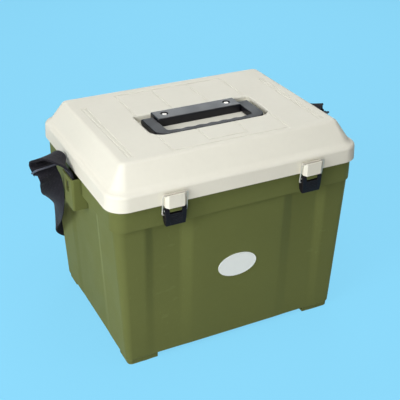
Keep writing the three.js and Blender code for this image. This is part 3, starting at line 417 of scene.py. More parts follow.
def rod(name, radius, start, end, sides=32, edge=0.0, segments=2):
    """A round bar from start to end, with its end edges rounded."""
    start, end = Vector(start), Vector(end)
    turn = (end - start).to_track_quat("Z", "Y").to_euler()
    bpy.ops.object.select_all(action="DESELECT")
    bpy.ops.mesh.primitive_cylinder_add(
        vertices=sides,
        radius=radius,
        depth=(end - start).length,
        location=(start + end) / 2,
        rotation=turn,
    )
    piece = bpy.context.active_object
    piece.name = name
    settle(piece)
    if edge:
        with edit_mode(piece):
            round_edges(lambda e: any(len(f.verts) > 4 for f in e.link_faces), edge, segments)
    return piece


def bore(radius, place, way, back, ahead=None):
    """A cutter for a round hole through a place, reaching back and ahead along a direction."""
    ahead = back if ahead is None else ahead
    return rod("hole", radius, place - way * back, place + way * ahead)


def arc(centre, radius, start, end, steps):
    """Points of an arc in a plane, from one angle to another in degrees."""
    turns = [math.radians(start + (end - start) * i / steps) for i in range(steps + 1)]
    return [(centre[0] + radius * math.cos(t), centre[1] + radius * math.sin(t)) for t in turns]


def soften(piece, width, segments=2, angle=40):
    """Rounds every edge of a piece that is sharper than an angle."""
    return modify(
        piece,
        "BEVEL",
        width=width,
        segments=segments,
        limit_method="ANGLE",
        angle_limit=math.radians(angle),
        use_clamp_overlap=False,
        miter_outer="MITER_ARC",
    )


def smooth(piece, angle=32):
    """Smooth shading up to an angle, with flat faces kept flat."""
    select_only(piece)
    bpy.ops.object.shade_smooth_by_angle(angle=math.radians(angle))
    return modify(piece, "WEIGHTED_NORMAL", keep_sharp=True)


def dress(piece, look, body, slot, *nodes):
    """Gives a finished piece its material and body, and hides the solids that it stands for. Its
    slot is not used.
    """
    piece.data.materials.clear()
    piece.data.materials.append(bpy.data.materials[f"{look}_look"])
    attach(piece, body)
    if nodes:
        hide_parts(*nodes)
    return piece


# Lid

# The handle recess in plan: its limits across, its limits front to back, and the radii of its
# front and back corners
PAN_X, PAN_Y, PAN_CORNERS = spread(109.5 * MM), (-68 * MM, 18.3 * MM), (24 * MM, 5 * MM)

# Radius of the hinge knuckles on the lid and on the tub
KNUCKLE = 5.3 * MM


def lid_skin(lid, at):
    """The lid's outer surface, open at the bottom and at the seat."""
    half_x, half_y = lid.width / 2, lid.depth / 2
    corners = (lid.corner, lid.corner)
    skin = plate("lid_moulding", spread(half_x), spread(half_y), at["rim_bottom"], corners, 12)
    shelf_corner = lid.corner - lid.draft - lid.shelf
    draw_in = shelf_corner - lid.seat_corner
    shelf_x, shelf_y = half_x - lid.draft - lid.shelf, half_y - lid.draft - lid.shelf
    shoulder_round, rim_round = 4.6 * MM, 3.9 * MM
    with edit_mode(skin):
        bpy.ops.mesh.select_all(action="SELECT")
        step(lid.draft, lid.rim_height)
        step(lid.shelf, lid.shelf_rise)
        step(draw_in, lid.shoulder_rise)
        scale_x = lid.seat_width / 2 / (shelf_x - draw_in)
        scale_y = lid.seat_depth / 2 / (shelf_y - draw_in)
        bpy.ops.transform.resize(value=(scale_x, scale_y, 1), center_override=(0, 0, at["seat"]))
        round_edges(at_height(at["seat"]), shoulder_round, 4)
        round_edges(at_height(at["shelf"]), shoulder_round, 5)
        round_edges(at_height(at["rim_top"]), rim_round, 5)
        choose("FACE", lambda f: f.normal.z > 0.999 and len(f.verts) > 20)
        bpy.ops.mesh.delete(type="ONLY_FACE")
    return skin


def in_pan(vertex):
    """A test for a vertex inside the handle recess in plan, or on its edge."""
    return all(
        low - NEAR < place < high + NEAR for place, (low, high) in zip(vertex.co, (PAN_X, PAN_Y))
    )


def recess_skin(lid, at):
    """The recess in the seat, with a rounded lip and floor."""
    apron, lean, floor_round, lip_round = 3 * MM, 0.5 * MM, 1.6 * MM, 1.5 * MM
    x, y = ((low - apron, high + apron) for low, high in (PAN_X, PAN_Y))
    pan = plate("recess", x, y, at["seat"], tuple(c + apron for c in PAN_CORNERS), 8)
    with edit_mode(pan):
        bpy.ops.mesh.select_all(action="SELECT")
        step(apron, 0)
        step(lean, -lid.recess_depth)
        lip = at_height(at["seat"])
        round_edges(at_height(at["recess_floor"]), floor_round, 3)
        round_edges(lambda e: lip(e) and all(in_pan(v) for v in e.verts), lip_round, 3)
    return pan


def seat_grooves(lid, at):
    """Cutters for the grooves moulded in the seat."""
    width, depth = lid.groove_width, lid.groove_depth
    half = width / 2
    back, front = 115 * MM, -128 * MM
    outer, inner, inner_front = 103.5 * MM, 35 * MM, -115.5 * MM
    end_x, end_pitch, end_back, end_front = 171 * MM, 7 * MM, 84 * MM, -120 * MM
    lines = [
        ((-outer, back), (outer, back)),
        ((-outer, front), (outer, front)),
        ((-inner, inner_front), (inner, inner_front)),
    ]
    for s in SIDES.values():
        a, b = s * end_x - end_pitch / 2, s * end_x + end_pitch / 2
        lines += [
            ((s * outer, front), (s * outer, back)),
            ((s * inner, inner_front), (s * inner, back)),
            ((a, end_front), (a, end_back)),
            ((b, end_front), (b, end_back)),
            ((a, end_front), (b, end_front)),
            ((a, end_back), (b, end_back)),
        ]
    cutters = []
    for (x0, y0), (x1, y1) in lines:
        low = (min(x0, x1) - half, min(y0, y1) - half, at["seat"] - depth)
        high = (max(x0, x1) + half, max(y0, y1) + half, at["seat"] + depth)
        cutter = block("groove", low, high)
        with edit_mode(cutter):
            round_edges(at_height(at["seat"] - depth), half / 2, 2)
        cutters.append(cutter)
    return cutters


def lid_ribs(at, outer):
    """Stiffening ribs under the seat, cut to the lid's outer shape."""
    half, far, side_x = 1.2 * MM, 230 * MM, 148 * MM
    bottom, ceiling = at["seat"] - 14 * MM, at["seat"] - 1.5 * MM
    limits = [((x - half, -far), (x + half, far)) for x in (-side_x, side_x)]
    limits += [((-far, y - half), (far, y + half)) for y in (-98 * MM, 52 * MM, 98 * MM)]
    ribs = [block("rib", (*low, bottom), (*high, ceiling)) for low, high in limits]
    grid = combine(ribs[0], ribs[1:], "UNION")
    return combine(grid, [outer], "INTERSECT")


def catch(lid, x):
    """The catch on the lid's rim that a latch's wire hooks over."""
    at = lid_places(lid)
    front = -lid.depth / 2
    face, root = front - 11.4 * MM, front + 1.5 * MM
    low, top = at["rim_bottom"] - 2.2 * MM, at["rim_bottom"] + 19.5 * MM
    lip, groove, chamfer = 2.3 * MM, 2 * MM, 4.5 * MM
    half = bpy.context.scene.seat_box_latch.catch_width / 2
    outline = [
        (root, at["rim_bottom"]),
        (face, low),
        (face, top),
        (face + lip, top),
        (face + lip, top - groove),
        (root, top - groove),
    ]
    piece = extruded("catch", [(x - half, y, z) for y, z in outline], (2 * half, 0, 0))
    plan = [
        (x - half, root),
        (x - half, face + chamfer),
        (x - half + chamfer, face),
        (x + half - chamfer, face),
        (x + half, face + chamfer),
        (x + half, root),
    ]
    room = extruded("plan", [(a, b, low - MM) for a, b in plan], (0, 0, top - low + 2 * MM))
    return combine(piece, [room], "INTERSECT")


def lid_knuckle(lid, x):
    """The knuckle that the lid gives to a hinge."""
    at = lid_places(lid)
    axis = middle("hinge_pin_left")
    back, half, slope = lid.depth / 2, 12 * MM, 3.2 * MM
    root, low, high = back - 1.5 * MM, at["rim_bottom"] + 0.8 * MM, at["rim_bottom"] + 18 * MM
    outline = [
        (root, low),
        *arc((axis.y, axis.z), KNUCKLE, 230, 375, 10),
        (back + slope, high),
        (root, high),
    ]
    knuckle = extruded("knuckle", [(x - half, y, z) for y, z in outline], (2 * half, 0, 0))
    with edit_mode(knuckle):
        round_edges(every, FINE_ROUND, 2)
    return knuckle


class SEATBOX_OT_lid(bpy.types.Operator):
    """Models the lid with its seat, recess, grooves, ribs, catches and hinge knuckles."""

    bl_idname = "seat_box.lid"
    bl_label = "Lid"

    def execute(self, context):
        lid = context.scene.seat_box_lid
        at = lid_places(lid)
        skin = lid_skin(lid, at)
        outer = copied(skin, "outer")
        for height in (at["seat"], at["rim_bottom"]):
            with edit_mode(outer):
                choose("EDGE", lambda e: e.is_boundary and at_height(height)(e))
                bpy.ops.mesh.edge_face_add()
        outward(outer)
        piece = gather([skin, recess_skin(lid, at)], "lid_moulding")
        with edit_mode(piece):
            choose("EDGE", lambda e: e.is_boundary and at_height(at["seat"])(e))
            bpy.ops.mesh.fill(use_beauty=True)
            bpy.ops.mesh.select_all(action="SELECT")
            bpy.ops.mesh.remove_doubles(threshold=NEAR)
            bpy.ops.mesh.normals_make_consistent(inside=False)
        modify(piece, "SOLIDIFY", thickness=lid.wall, offset=-1, use_even_offset=True)
        catches = [catch(lid, x) for x in pair("latch_pin")]
        knuckles = [lid_knuckle(lid, x) for x in pair("hinge_pin")]
        combine(piece, [lid_ribs(at, outer), *catches, *knuckles], "UNION")
        combine(piece, seat_grooves(lid, at))
        holes = []
        for side in SIDES:
            holes.append(bore(HINGE_BORE, middle(f"hinge_pin_{side}"), ALONG, 20 * MM))
            holes.append(bore(SCREW_BORE, middle(f"handle_screw_{side}"), UP, 30 * MM, 10 * MM))
        combine(piece, holes)
        smooth(piece)
        dress(piece, "cream_plastic", "lid_body", "cream_plastic", "lid")
        return {"FINISHED"}


# Tub

# The folds of the flutes across the box, and those of the side recesses front to back
FLUTE_X = [84 * MM, 103 * MM, 152 * MM, 166 * MM]
RECESS_Y = [62 * MM, 77 * MM]

# A place further out than these is on a side wall, or on the front or back wall
WALL_X, WALL_Y = 170 * MM, 120 * MM

# The bar of the right strap loop in millimetres, and the top of its block
LOOP_BAR = (227.6, 2, 275)
LOOP_TOP = 296 * MM


def body_at(tub, z, inset=0.0):
    """The body at a height: its half width and depth, its corner and how deep it is pressed in."""
    share = (z - tub.foot_height) / (tub.band_bottom - tub.foot_height)
    pressed = [
        tub.pressed_foot + (depth - tub.pressed_foot) * max(0.0, share)
        for depth in (tub.flute_depth, tub.side_depth)
    ]
    return (
        tub.base_width / 2 + tub.draft_x * share - inset,
        tub.base_depth / 2 + tub.draft_y * share - inset,
        tub.corner + (tub.top_corner - tub.corner) * share - inset,
        *pressed,
    )


def in_flute(vertex):
    """A test for a vertex on the floor of a flute."""
    x, y = abs(vertex.co.x), abs(vertex.co.y)
    return FLUTE_X[1] - NEAR < x < FLUTE_X[2] + NEAR and y > WALL_Y


def in_recess(vertex):
    """A test for a vertex on the floor of a side recess."""
    return abs(vertex.co.y) < RECESS_Y[0] + NEAR and abs(vertex.co.x) > WALL_X


def fluted_block(name, tub, z, inset=0.0, levels=6):
    """The tub's body between two heights, drawn in by an inset, with flutes and side recesses."""
    half_x, half_y, corner, flute, recess = body_at(tub, z[0], inset)
    wide_x, wide_y, wide_corner, wide_flute, wide_recess = body_at(tub, z[1], inset)
    size = wide_corner / corner
    piece = plate(name, spread(half_x), spread(half_y), z[0], (corner, corner), 8)
    with edit_mode(piece):
        for axis, places in (((1, 0, 0), FLUTE_X), ((0, 1, 0), RECESS_Y)):
            for place in places:
                for s in SIDES.values():
                    bpy.ops.mesh.select_all(action="SELECT")
                    co = tuple(s * place * part for part in axis)
                    bpy.ops.mesh.bisect(plane_co=co, plane_no=axis)
        on_edge = lambda v: abs(abs(v.co.x) - half_x) < NEAR or abs(abs(v.co.y) - half_y) < NEAR
        for s in SIDES.values():
            choose("VERT", lambda v: on_edge(v) and in_flute(v) and s * v.co.y > 0)
            bpy.ops.transform.translate(value=(0, -s * flute, 0))
            choose("VERT", lambda v: on_edge(v) and in_recess(v) and s * v.co.x > 0)
            bpy.ops.transform.translate(value=(-s * recess, 0, 0))
        bpy.ops.mesh.select_mode(type="FACE")
        bpy.ops.mesh.select_all(action="SELECT")
        bpy.ops.mesh.dissolve_faces()
        bpy.ops.mesh.select_all(action="SELECT")
        rise(z[1] - z[0])
        high = lambda v: abs(v.co.z - z[1]) < NEAR
        edge_x, edge_y = half_x - corner - NEAR, half_y - corner - NEAR
        for sx, sy in CORNERS:
            choose("VERT", lambda v: high(v) and sx * v.co.x > edge_x and sy * v.co.y > edge_y)
            bpy.ops.transform.resize(
                value=(size, size, 1), center_override=(sx * half_x, sy * half_y, z[1])
            )
        for s in SIDES.values():
            choose("VERT", lambda v: high(v) and in_flute(v) and s * v.co.y > 0)
            bpy.ops.transform.translate(value=(0, -s * (wide_flute - flute), 0))
            choose("VERT", lambda v: high(v) and in_recess(v) and s * v.co.x > 0)
            bpy.ops.transform.translate(value=(-s * (wide_recess - recess), 0, 0))
            choose("VERT", lambda v: high(v) and s * v.co.x > WALL_X)
            bpy.ops.transform.translate(value=(s * (wide_x - half_x), 0, 0))
            choose("VERT", lambda v: high(v) and s * v.co.y > WALL_Y)
            bpy.ops.transform.translate(value=(0, s * (wide_y - half_y), 0))
        for level in range(1, levels):
            bpy.ops.mesh.select_all(action="SELECT")
            height = z[0] + (z[1] - z[0]) * level / levels
            bpy.ops.mesh.bisect(plane_co=(0, 0, height), plane_no=(0, 0, 1))
    return outward(piece)


def folds(places, axis):
    """A test for the upright edges at the sides of the flutes or of the side recesses."""
    wall = WALL_Y if axis == 0 else WALL_X

    def on_fold(vertex):
        """A test for a vertex on one of those folds."""
        near = any(abs(abs(vertex.co[axis]) - place) < NEAR for place in places)
        return near and abs(vertex.co[1 - axis]) > wall

    return lambda edge: upright(edge) and all(on_fold(v) for v in edge.verts)


def tub_body(tub, lip_top):
    """The body and the band round its mouth, hollow."""
    wall, floor = tub.wall, tub.foot_height
    ledge = tub.band_bottom + wall
    flute_round, recess_round, floor_round, inside_round = 3.5 * MM, 4 * MM, 3.2 * MM, 3 * MM
    band_round, lip_round = 1.2 * MM, 1 * MM
    body = fluted_block("tub_moulding", tub, (floor, ledge))
    with edit_mode(body):
        round_edges(folds(FLUTE_X, 0), flute_round, 3)
        round_edges(folds(RECESS_Y, 1), recess_round, 3)
        round_edges(at_height(floor), floor_round, 3)
    half_x, half_y, corner = tub.band_width / 2, tub.band_depth / 2, tub.band_corner
    heights = (tub.band_bottom, lip_top)
    band = slab("band", spread(half_x), spread(half_y), heights, (corner, corner), 12)
    with edit_mode(band):
        round_edges(at_height(tub.band_bottom), band_round, 2)
        round_edges(at_height(lip_top), lip_round, 2)
    combine(body, [band], "UNION")
    inner = fluted_block("inside", tub, (floor + wall, ledge), wall)
    with edit_mode(inner):
        round_edges(at_height(floor + wall), inside_round, 2)
    heights, corners = (ledge - NEAR, lip_top + wall), (corner - wall, corner - wall)
    mouth = slab("mouth", spread(half_x - wall), spread(half_y - wall), heights, corners, 12)
    combine(inner, [mouth], "UNION")
    return body, inner


def tub_feet(tub):
    """The four corner feet."""
    sunk, inset, sole_round = 2 * MM, 2.2 * MM, 1.2 * MM
    far, near_x, near_y = 240 * MM, 145 * MM, 112 * MM
    pad = fluted_block("feet", tub, (0.0, tub.foot_height + sunk), inset, 1)
    with edit_mode(pad):
        round_edges(at_height(0.0), sole_round, 2)
    corners = []
    for sx, sy in CORNERS:
        xs, ys = sorted((sx * near_x, sx * far)), sorted((sy * near_y, sy * far))
        corners.append(block("corner", (xs[0], ys[0], -far), (xs[1], ys[1], far)))
    return combine(pad, [gather(corners, "corners")], "INTERSECT")


def latch_lug(tub, x):
    """The lug that stands between a lever's ears."""
    pin = middle("latch_pin_left")
    sunk, radius, half, edge = 0.8 * MM, 4.1 * MM, 10.1 * MM, 0.6 * MM
    root = sunk - tub.band_depth / 2
    outline = [
        (root, pin.z - radius),
        *reversed(arc((pin.y, pin.z), radius, 90, 270, 10)),
        (root, pin.z + radius + sunk),
    ]
    lug = extruded("lug", [(x - half, y, z) for y, z in outline], (2 * half, 0, 0))
    with edit_mode(lug):
        round_edges(every, edge, 2)
    return lug


def tub_knuckles(tub, x):
    """The two knuckles that the tub gives to a hinge."""
    axis = middle("hinge_pin_left")
    sunk, foot, inner, outer = 0.8 * MM, 21 * MM, 12.6 * MM, 24.6 * MM
    root = tub.band_depth / 2 - sunk
    outline = [
        (root, axis.z - foot),
        *arc((axis.y, axis.z), KNUCKLE, -50, 150, 12),
        (root, axis.z + sunk),
    ]
    made = []
    for x0, x1 in ((x - outer, x - inner), (x + inner, x + outer)):
        knuckle = extruded("knuckle", [(x0, y, z) for y, z in outline], (x1 - x0, 0, 0))
        on_end = lambda e: any(all(abs(v.co.x - end) < NEAR for v in e.verts) for end in (x0, x1))
        with edit_mode(knuckle):
            round_edges(on_end, FINE_ROUND, 2)
        made.append(knuckle)
    return made


def strap_boss(tub, s):
    """A strap loop: its block, the cutters of its pocket and window, and its bar."""
    y0, y1, bottom, wall = -23 * MM, 27 * MM, 240 * MM, 2.6 * MM
    near, far = body_at(tub, bottom)[0] - tub.side_depth, 235 * MM
    corner_round, edge_round, window_round = 4 * MM, 0.9 * MM, 1.5 * MM
    pocket_x, pocket_floor, spare = 219.8 * MM, 260 * MM, 0.3 * MM
    window_half, window_low, window_high = 6.5 * MM, 267 * MM, 287 * MM
    bar_radius = 2.4 * MM
    bar_x, bar_y, bar_z = (part * MM for part in LOOP_BAR)

    def sided(name, x, y, z):
        """A block on this side of the box, between two distances from its middle plane."""
        xs = sorted((s * x[0], s * x[1]))
        return block(name, (xs[0], y[0], z[0]), (xs[1], y[1], z[1]))

    body = sided("boss", (near, far), (y0, y1), (bottom, LOOP_TOP))
    with edit_mode(body):
        outer = lambda v: abs(v.co.x) > far - NEAR
        round_edges(lambda e: upright(e) and all(outer(v) for v in e.verts), corner_round, 4)
        round_edges(at_height(LOOP_TOP, bottom), edge_round, 2)
    pocket_y = (y0 + wall + spare, y1 - wall - spare)
    pocket = sided("pocket", (pocket_x, far - wall), pocket_y, (pocket_floor, LOOP_TOP + wall))
    window_y = (bar_y - window_half, bar_y + window_half)
    window_x = (far - 2 * wall, far + wall)
    window = sided("window", window_x, window_y, (window_low, window_high))
    with edit_mode(window):
        along_x = lambda e: abs(e.verts[0].co.x - e.verts[1].co.x) > wall
        round_edges(along_x, window_round, 3)
    ends = [(s * bar_x, y, bar_z) for y in (y0 + wall / 2, y1 - wall / 2)]
    return body, [pocket, window], rod("bar", bar_radius, *ends)


class SEATBOX_OT_tub(bpy.types.Operator):
    """Models the tub with its band, flutes, feet, strap loops, latch lugs and hinge knuckles."""

    bl_idname = "seat_box.tub"
    bl_label = "Tub"

    def execute(self, context):
        tub = context.scene.seat_box_tub
        lip_top = 322 * MM
        piece, inside = tub_body(tub, lip_top)
        bosses = [strap_boss(tub, s) for s in SIDES.values()]
        lugs = [latch_lug(tub, x) for x in pair("latch_pin")]
        knuckles = [knuckle for x in pair("hinge_pin") for knuckle in tub_knuckles(tub, x)]
        combine(piece, [tub_feet(tub), *(b[0] for b in bosses), *lugs, *knuckles], "UNION")
        combine(piece, [cutter for b in bosses for cutter in b[1]] + [inside])
        holes = [
            bore(radius, middle(f"{node}_{side}"), ALONG, 30 * MM)
            for node, radius in (("hinge_pin", HINGE_BORE), ("latch_pin", LATCH_BORE))
            for side in SIDES
        ]
        combine(piece, holes)
        combine(piece, [b[2] for b in bosses], "UNION")
        smooth(piece)
        dress(piece, "olive_plastic", "tub_body", "olive_plastic", "tub")
        return {"FINISHED"}


# Handle

# The bail's pivot, front to back
PIVOT_Y = 2 * MM


class SEATBOX_OT_handle(bpy.types.Operator):
    """Models the bail with its finger grip, the clamp bar, the screws, the nuts and their plate."""

    bl_idname = "seat_box.handle"
    bl_label = "Handle"

    def execute(self, context):
        handle = context.scene.seat_box_handle
        make_bail(handle)
        make_clamp(handle)
        make_backing_plate()
        for side in SIDES:
            make_screw(side)
            make_nut(side)
        return {"FINISHED"}


def make_bail(handle):
    """The U-shaped bail, laid flat in the recess, with waves for the fingers."""
    low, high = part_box("handle_bail")
    outer, front = high.x, low.y
    inner, bar_back = outer - handle.arm, front + handle.bar
    grip, corner, inner_corner, edge = inner - 12.6 * MM, 19 * MM, 6 * MM, 1.3 * MM
    trunnion, reach_in, sunk, end_round = 4.4 * MM, 8.4 * MM, 2 * MM, 0.6 * MM
    middle_z, radius = (high.z + low.z) / 2, (high.z - low.z) / 2
    far = high.y + radius
    half = [
        (inner, far),
        *arc((inner - inner_corner, bar_back + inner_corner), inner_corner, 0, -90, 6),
    ]
    steps = handle.waves * 8
    waves = []
    for i in range(1, steps):
        wave = (1 - math.cos(2 * math.pi * handle.waves * i / steps)) / 2
        waves.append((grip * (1 - 2 * i / steps), bar_back - handle.wave_depth * wave))
    mirror = lambda points: [(-x, y) for x, y in reversed(points)]
    outside = [*arc((outer - corner, front + corner), corner, -90, 0, 10), (outer, far)]
    outline = [*half, *waves, *mirror(half), *mirror(outside), *outside]
    bail = extruded("handle_bail_moulding", [(x, y, low.z) for x, y in outline], (0, 0, 2 * radius))
    side = [
        (front - radius, low.z),
        *arc((PIVOT_Y, middle_z), radius, -90, 90, 16),
        (front - radius, high.z),
    ]
    reach = outer + radius
    room = extruded("side", [(-reach, y, z) for y, z in side], (2 * reach, 0, 0))
    combine(bail, [room], "INTERSECT")
    with edit_mode(bail):
        round_edges(lambda e: e.calc_face_angle(0) > 1.0, edge, 3)
    trunnions = []
    for s in SIDES.values():
        ends = [(s * x, PIVOT_Y, middle_z) for x in (inner - reach_in, inner + sunk)]
        trunnions.append(rod("trunnion", trunnion, *ends, 32, end_round, 2))
    combine(bail, trunnions, "UNION")
    smooth(bail)
    dress(bail, "grip_plastic", "handle_body", "black_plastic", "handle_bail")


def make_clamp(handle):
    """The clamp bar over the bail's trunnions, with its screws sunk in it."""
    low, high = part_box("handle_clamp")
    corner, edge, sink, sink_radius = 2.2 * MM, 0.35 * MM, 4.6 * MM, 6.6 * MM
    pivot_x, pivot_radius = 69 * MM, 4.75 * MM
    clamp = block("handle_clamp_moulding", low, high)
    with edit_mode(clamp):
        round_edges(upright, corner, 4)
        round_edges(at_height(high.z), handle.clamp_chamfer, 3)
    holes = []
    for side, s in SIDES.items():
        screw = middle(f"handle_screw_{side}")
        floor = Vector((screw.x, screw.y, high.z - sink))
        holes.append(rod("sink", sink_radius, floor, floor + UP * (10 * MM), 48))
        holes.append(bore(SCREW_BORE, floor, UP, 30 * MM, 10 * MM))
        pivot = Vector((s * pivot_x, PIVOT_Y, middle("handle_bail").z))
        holes.append(bore(pivot_radius, pivot, ALONG * s, 0, 20 * MM))
    combine(clamp, holes)
    soften(clamp, edge, 2, 50)
    smooth(clamp)
    dress(clamp, "black_plastic", "lid_body", "black_plastic", "handle_clamp")


def make_backing_plate():
    """The plate under the lid that the handle's screws pull against."""
    low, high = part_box("handle_backing_plate")
    corner, edge = 4 * MM, 0.4 * MM
    backing = slab("handle_plate", *zip(low, high), (corner, corner), 6)
    with edit_mode(backing):
        round_edges(at_height(low.z, high.z), edge, 2)
    holes = [bore(SCREW_BORE, middle(f"handle_screw_{side}"), UP, 30 * MM) for side in SIDES]
    combine(backing, holes)
    smooth(backing)
    dress(backing, "zinc_steel", "lid_body", "zinc_steel", "handle_backing_plate")


def make_screw(side):
    """A domed screw with a cross drive and a plain shank."""
    node = f"handle_screw_{side}"
    low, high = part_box(node)
    x, y = middle(node).x, middle(node).y
    head_radius, shank_radius, dome, edge, sunk = 5 * MM, 2.5 * MM, 1.9 * MM, 0.3 * MM, 1 * MM
    reach, half, deep, taper = 2.7 * MM, 0.55 * MM, 1.9 * MM, 0.72
    head_low = high.z - 3.2 * MM
    head = rod("screw_" + side, head_radius, (x, y, head_low), (x, y, high.z), 48)
    with edit_mode(head):
        round_edges(at_height(high.z), dome, 5)
        round_edges(at_height(head_low), edge, 2)
    floor, top = high.z - deep, high.z + deep
    drives = []
    for across, along in ((reach, half), (half, reach)):
        drive = block("drive", (x - across, y - along, floor), (x + across, y + along, top))
        with edit_mode(drive):
            choose("FACE", lambda f: f.normal.z < -0.9)
            bpy.ops.transform.resize(value=(taper, taper, 1), center_override=(x, y, floor))
        drives.append(drive)
    combine(head, drives)
    shank = rod("shank", shank_radius, (x, y, low.z), (x, y, head_low + sunk), 32, FINE_ROUND)
    combine(head, [shank], "UNION")
    smooth(head)
    dress(head, "bright_steel", "lid_body", "bright_steel", node)


def make_nut(side):
    """A hexagon nut with its corners turned off."""
    node = f"handle_nut_{side}"
    low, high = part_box(node)
    x, y = middle(node).x, middle(node).y
    across, chamfer, hole_radius = 9 * MM, 0.55 * MM, 2.75 * MM
    corner = across / math.sqrt(3)
    ends = (x, y, low.z), (x, y, high.z)
    nut = rod("nut_" + side, corner, *ends, 6)
    combine(nut, [rod("turned", corner * 0.985, *ends, 48, chamfer, 1)], "INTERSECT")
    combine(nut, [rod("hole", hole_radius, (x, y, low.z - MM), (x, y, high.z + MM))])
    smooth(nut)
    dress(nut, "zinc_steel", "lid_body", "zinc_steel", node)


# Hinges and latches

# The place of the latch wire's foot from its lever's pin, to the back and up
FOOT_BACK, FOOT_UP = 2 * MM, -7.5 * MM


def make_pin(name, node, radius, edge):
    """A plain pin that lies across the box, with its ends rounded."""
    low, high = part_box(node)
    y, z = (low.y + high.y) / 2, (low.z + high.z) / 2
    pin = rod(name, radius, (low.x, y, z), (high.x, y, z), 32, edge, 3)
    smooth(pin)
    dress(pin, "bright_steel", "tub_body", "bright_steel", node)


class SEATBOX_OT_hinge_pins(bpy.types.Operator):
    """Models the two hinge pins."""

    bl_idname = "seat_box.hinge_pins"
    bl_label = "Hinge pins"

    def execute(self, context):
        for side in SIDES:
            make_pin(f"hinge_pin_bar_{side}", f"hinge_pin_{side}", 2 * MM, FINE_ROUND)
        return {"FINISHED"}


class SEATBOX_OT_latches(bpy.types.Operator):
    """Models each latch's lever, pin and wire hoop."""

    bl_idname = "seat_box.latches"
    bl_label = "Latches"

    def execute(self, context):
        latch = context.scene.seat_box_latch
        lever = make_lever(latch)
        wire = make_wire(latch)
        pieces = {"left": (lever, wire)}
        pieces["right"] = (mirrored(lever, "lever_right"), mirrored(wire, "wire_right"))
        for side, (arm, hoop) in pieces.items():
            body = f"lever_{side}_body"
            smooth(arm)
            smooth(hoop, 60)
            dress(arm, "lever_plastic", body, "black_plastic", f"latch_lever_{side}")
            dress(hoop, "wire_steel", f"wire_{side}_body", "bright_steel", f"latch_wire_{side}")
            make_pin(f"latch_pin_bar_{side}", f"latch_pin_{side}", 1.6 * MM, 0.4 * MM)
        return {"FINISHED"}


def make_lever(latch):
    """The left lever: a ribbed shell with side flanges and two round ears."""
    pin = middle("latch_pin_left")
    half, ear, shell, back, drop = 18.3 * MM, 4.5 * MM, 2.6 * MM, 6.8 * MM, 26.5 * MM
    chamfer, toe_front, flange, draw = 0.8 * MM, 2 * MM, 5.3 * MM, 1.9 * MM
    wire_bore, reach, through = 1.5 * MM, 30 * MM, 10 * MM
    x, y, z = pin
    face, toe, top = y - ear, z - drop, z - 5.6 * MM
    outline = [
        *arc((y, z), ear, 0, 180, 14),
        (face, z - 0.55 * drop),
        (face + chamfer, toe + chamfer),
        (face + toe_front, toe),
        (y + shell, toe),
        (y + back, z - 0.8 * drop),
        (y + back, z - flange),
    ]
    lever = extruded("lever_left", [(x - half, b, c) for b, c in outline], (2 * half, 0, 0))
    heights = {round(vertex.co.z, 7) for vertex in lever.data.vertices if vertex.co.z < top - NEAR}
    with edit_mode(lever):
        for height in sorted(heights):
            for s in SIDES.values():
                choose("VERT", lambda v: abs(v.co.z - height) < NEAR and s * (v.co.x - x) > 0)
                drawn = draw * (top - height) / (top - toe)
                bpy.ops.transform.translate(value=(-s * drawn, 0, 0))
        side = lambda f: abs(f.normal.x) > 0.9
        round_edges(lambda e: len([f for f in e.link_faces if side(f)]) == 1, FINE_ROUND, 2)
    inner, hollow = half - 7.6 * MM, half - shell - chamfer
    cuts = [
        block("window", (x - inner, y - through, top), (x + inner, y + through, z + through)),
        block(
            "hollow",
            (x - hollow, face + shell + chamfer, toe + shell),
            (x + hollow, y + 2 * back, top - shell),
        ),
    ]
    pitch, groove_half, groove_depth = 3.1 * MM, 0.6 * MM, 0.9 * MM
    for i in range(latch.ribs):
        centre = top - pitch * (i + 1)
        groove = block(
            "groove",
            (x - inner, face - MM, centre - groove_half),
            (x + inner, face + groove_depth, centre + groove_half),
        )
        with edit_mode(groove):
            round_edges(lambda e: all(v.co.y > face for v in e.verts), FINE_ROUND, 2)
        cuts.append(groove)
    for radius, b, c in ((LATCH_BORE, y, z), (wire_bore, y + FOOT_BACK, z + FOOT_UP)):
        cuts.append(rod("hole", radius, (x - reach, b, c), (x + reach, b, c)))
    return combine(lever, cuts)


def make_wire(latch):
    """The left wire hoop: out of the lever, up beside the catch and across behind its lip."""
    pin = middle("latch_pin_left")
    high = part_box("latch_wire_left")[1]
    radius = latch.wire / 2
    half, bend, tail, forward = 20.4 * MM, 2.6 * MM, 15.5 * MM, 2.5 * MM
    foot = Vector((pin.x, pin.y + FOOT_BACK, pin.z + FOOT_UP))
    crossbar = Vector((pin.x, pin.y - forward, high.z - radius))
    way = crossbar - foot
    height, way = way.length, way.normalized()
    side = [
        (tail, 0.0),
        *arc((half - bend, bend), bend, -90, 0, 6),
        *arc((half - bend, height - bend), bend, 0, 90, 6),
    ]
    route = [(-a, b) for a, b in side] + list(reversed(side))
    points = [foot + ALONG * a + way * b for a, b in route]
    return tube("wire_left", points, radius)


def tube(name, points, radius, resolution=5):
    """A round bar along points, as a closed mesh."""
    curve = bpy.data.curves.new(name, "CURVE")
    curve.dimensions = "3D"
    curve.bevel_depth = radius
    curve.bevel_resolution = resolution
    curve.use_fill_caps = True
    spline = curve.splines.new("POLY")
    spline.points.add(len(points) - 1)
    for spot, point in zip(spline.points, points):
        spot.co = (*point, 1)
    piece = bpy.data.objects.new(name, curve)
    bpy.context.scene.collection.objects.link(piece)
    select_only(piece)
    bpy.ops.object.convert(target="MESH")
    piece = bpy.context.active_object
    piece.name = name
    with edit_mode(piece):
        bpy.ops.mesh.select_all(action="SELECT")
        bpy.ops.mesh.remove_doubles(threshold=NEAR / 2)
    return outward(piece)


# Strap

def level_way(degrees):
    """A level direction, by its turn round Z from +X."""
    turn = math.radians(degrees)
    return Vector((math.cos(turn), math.sin(turn), 0))


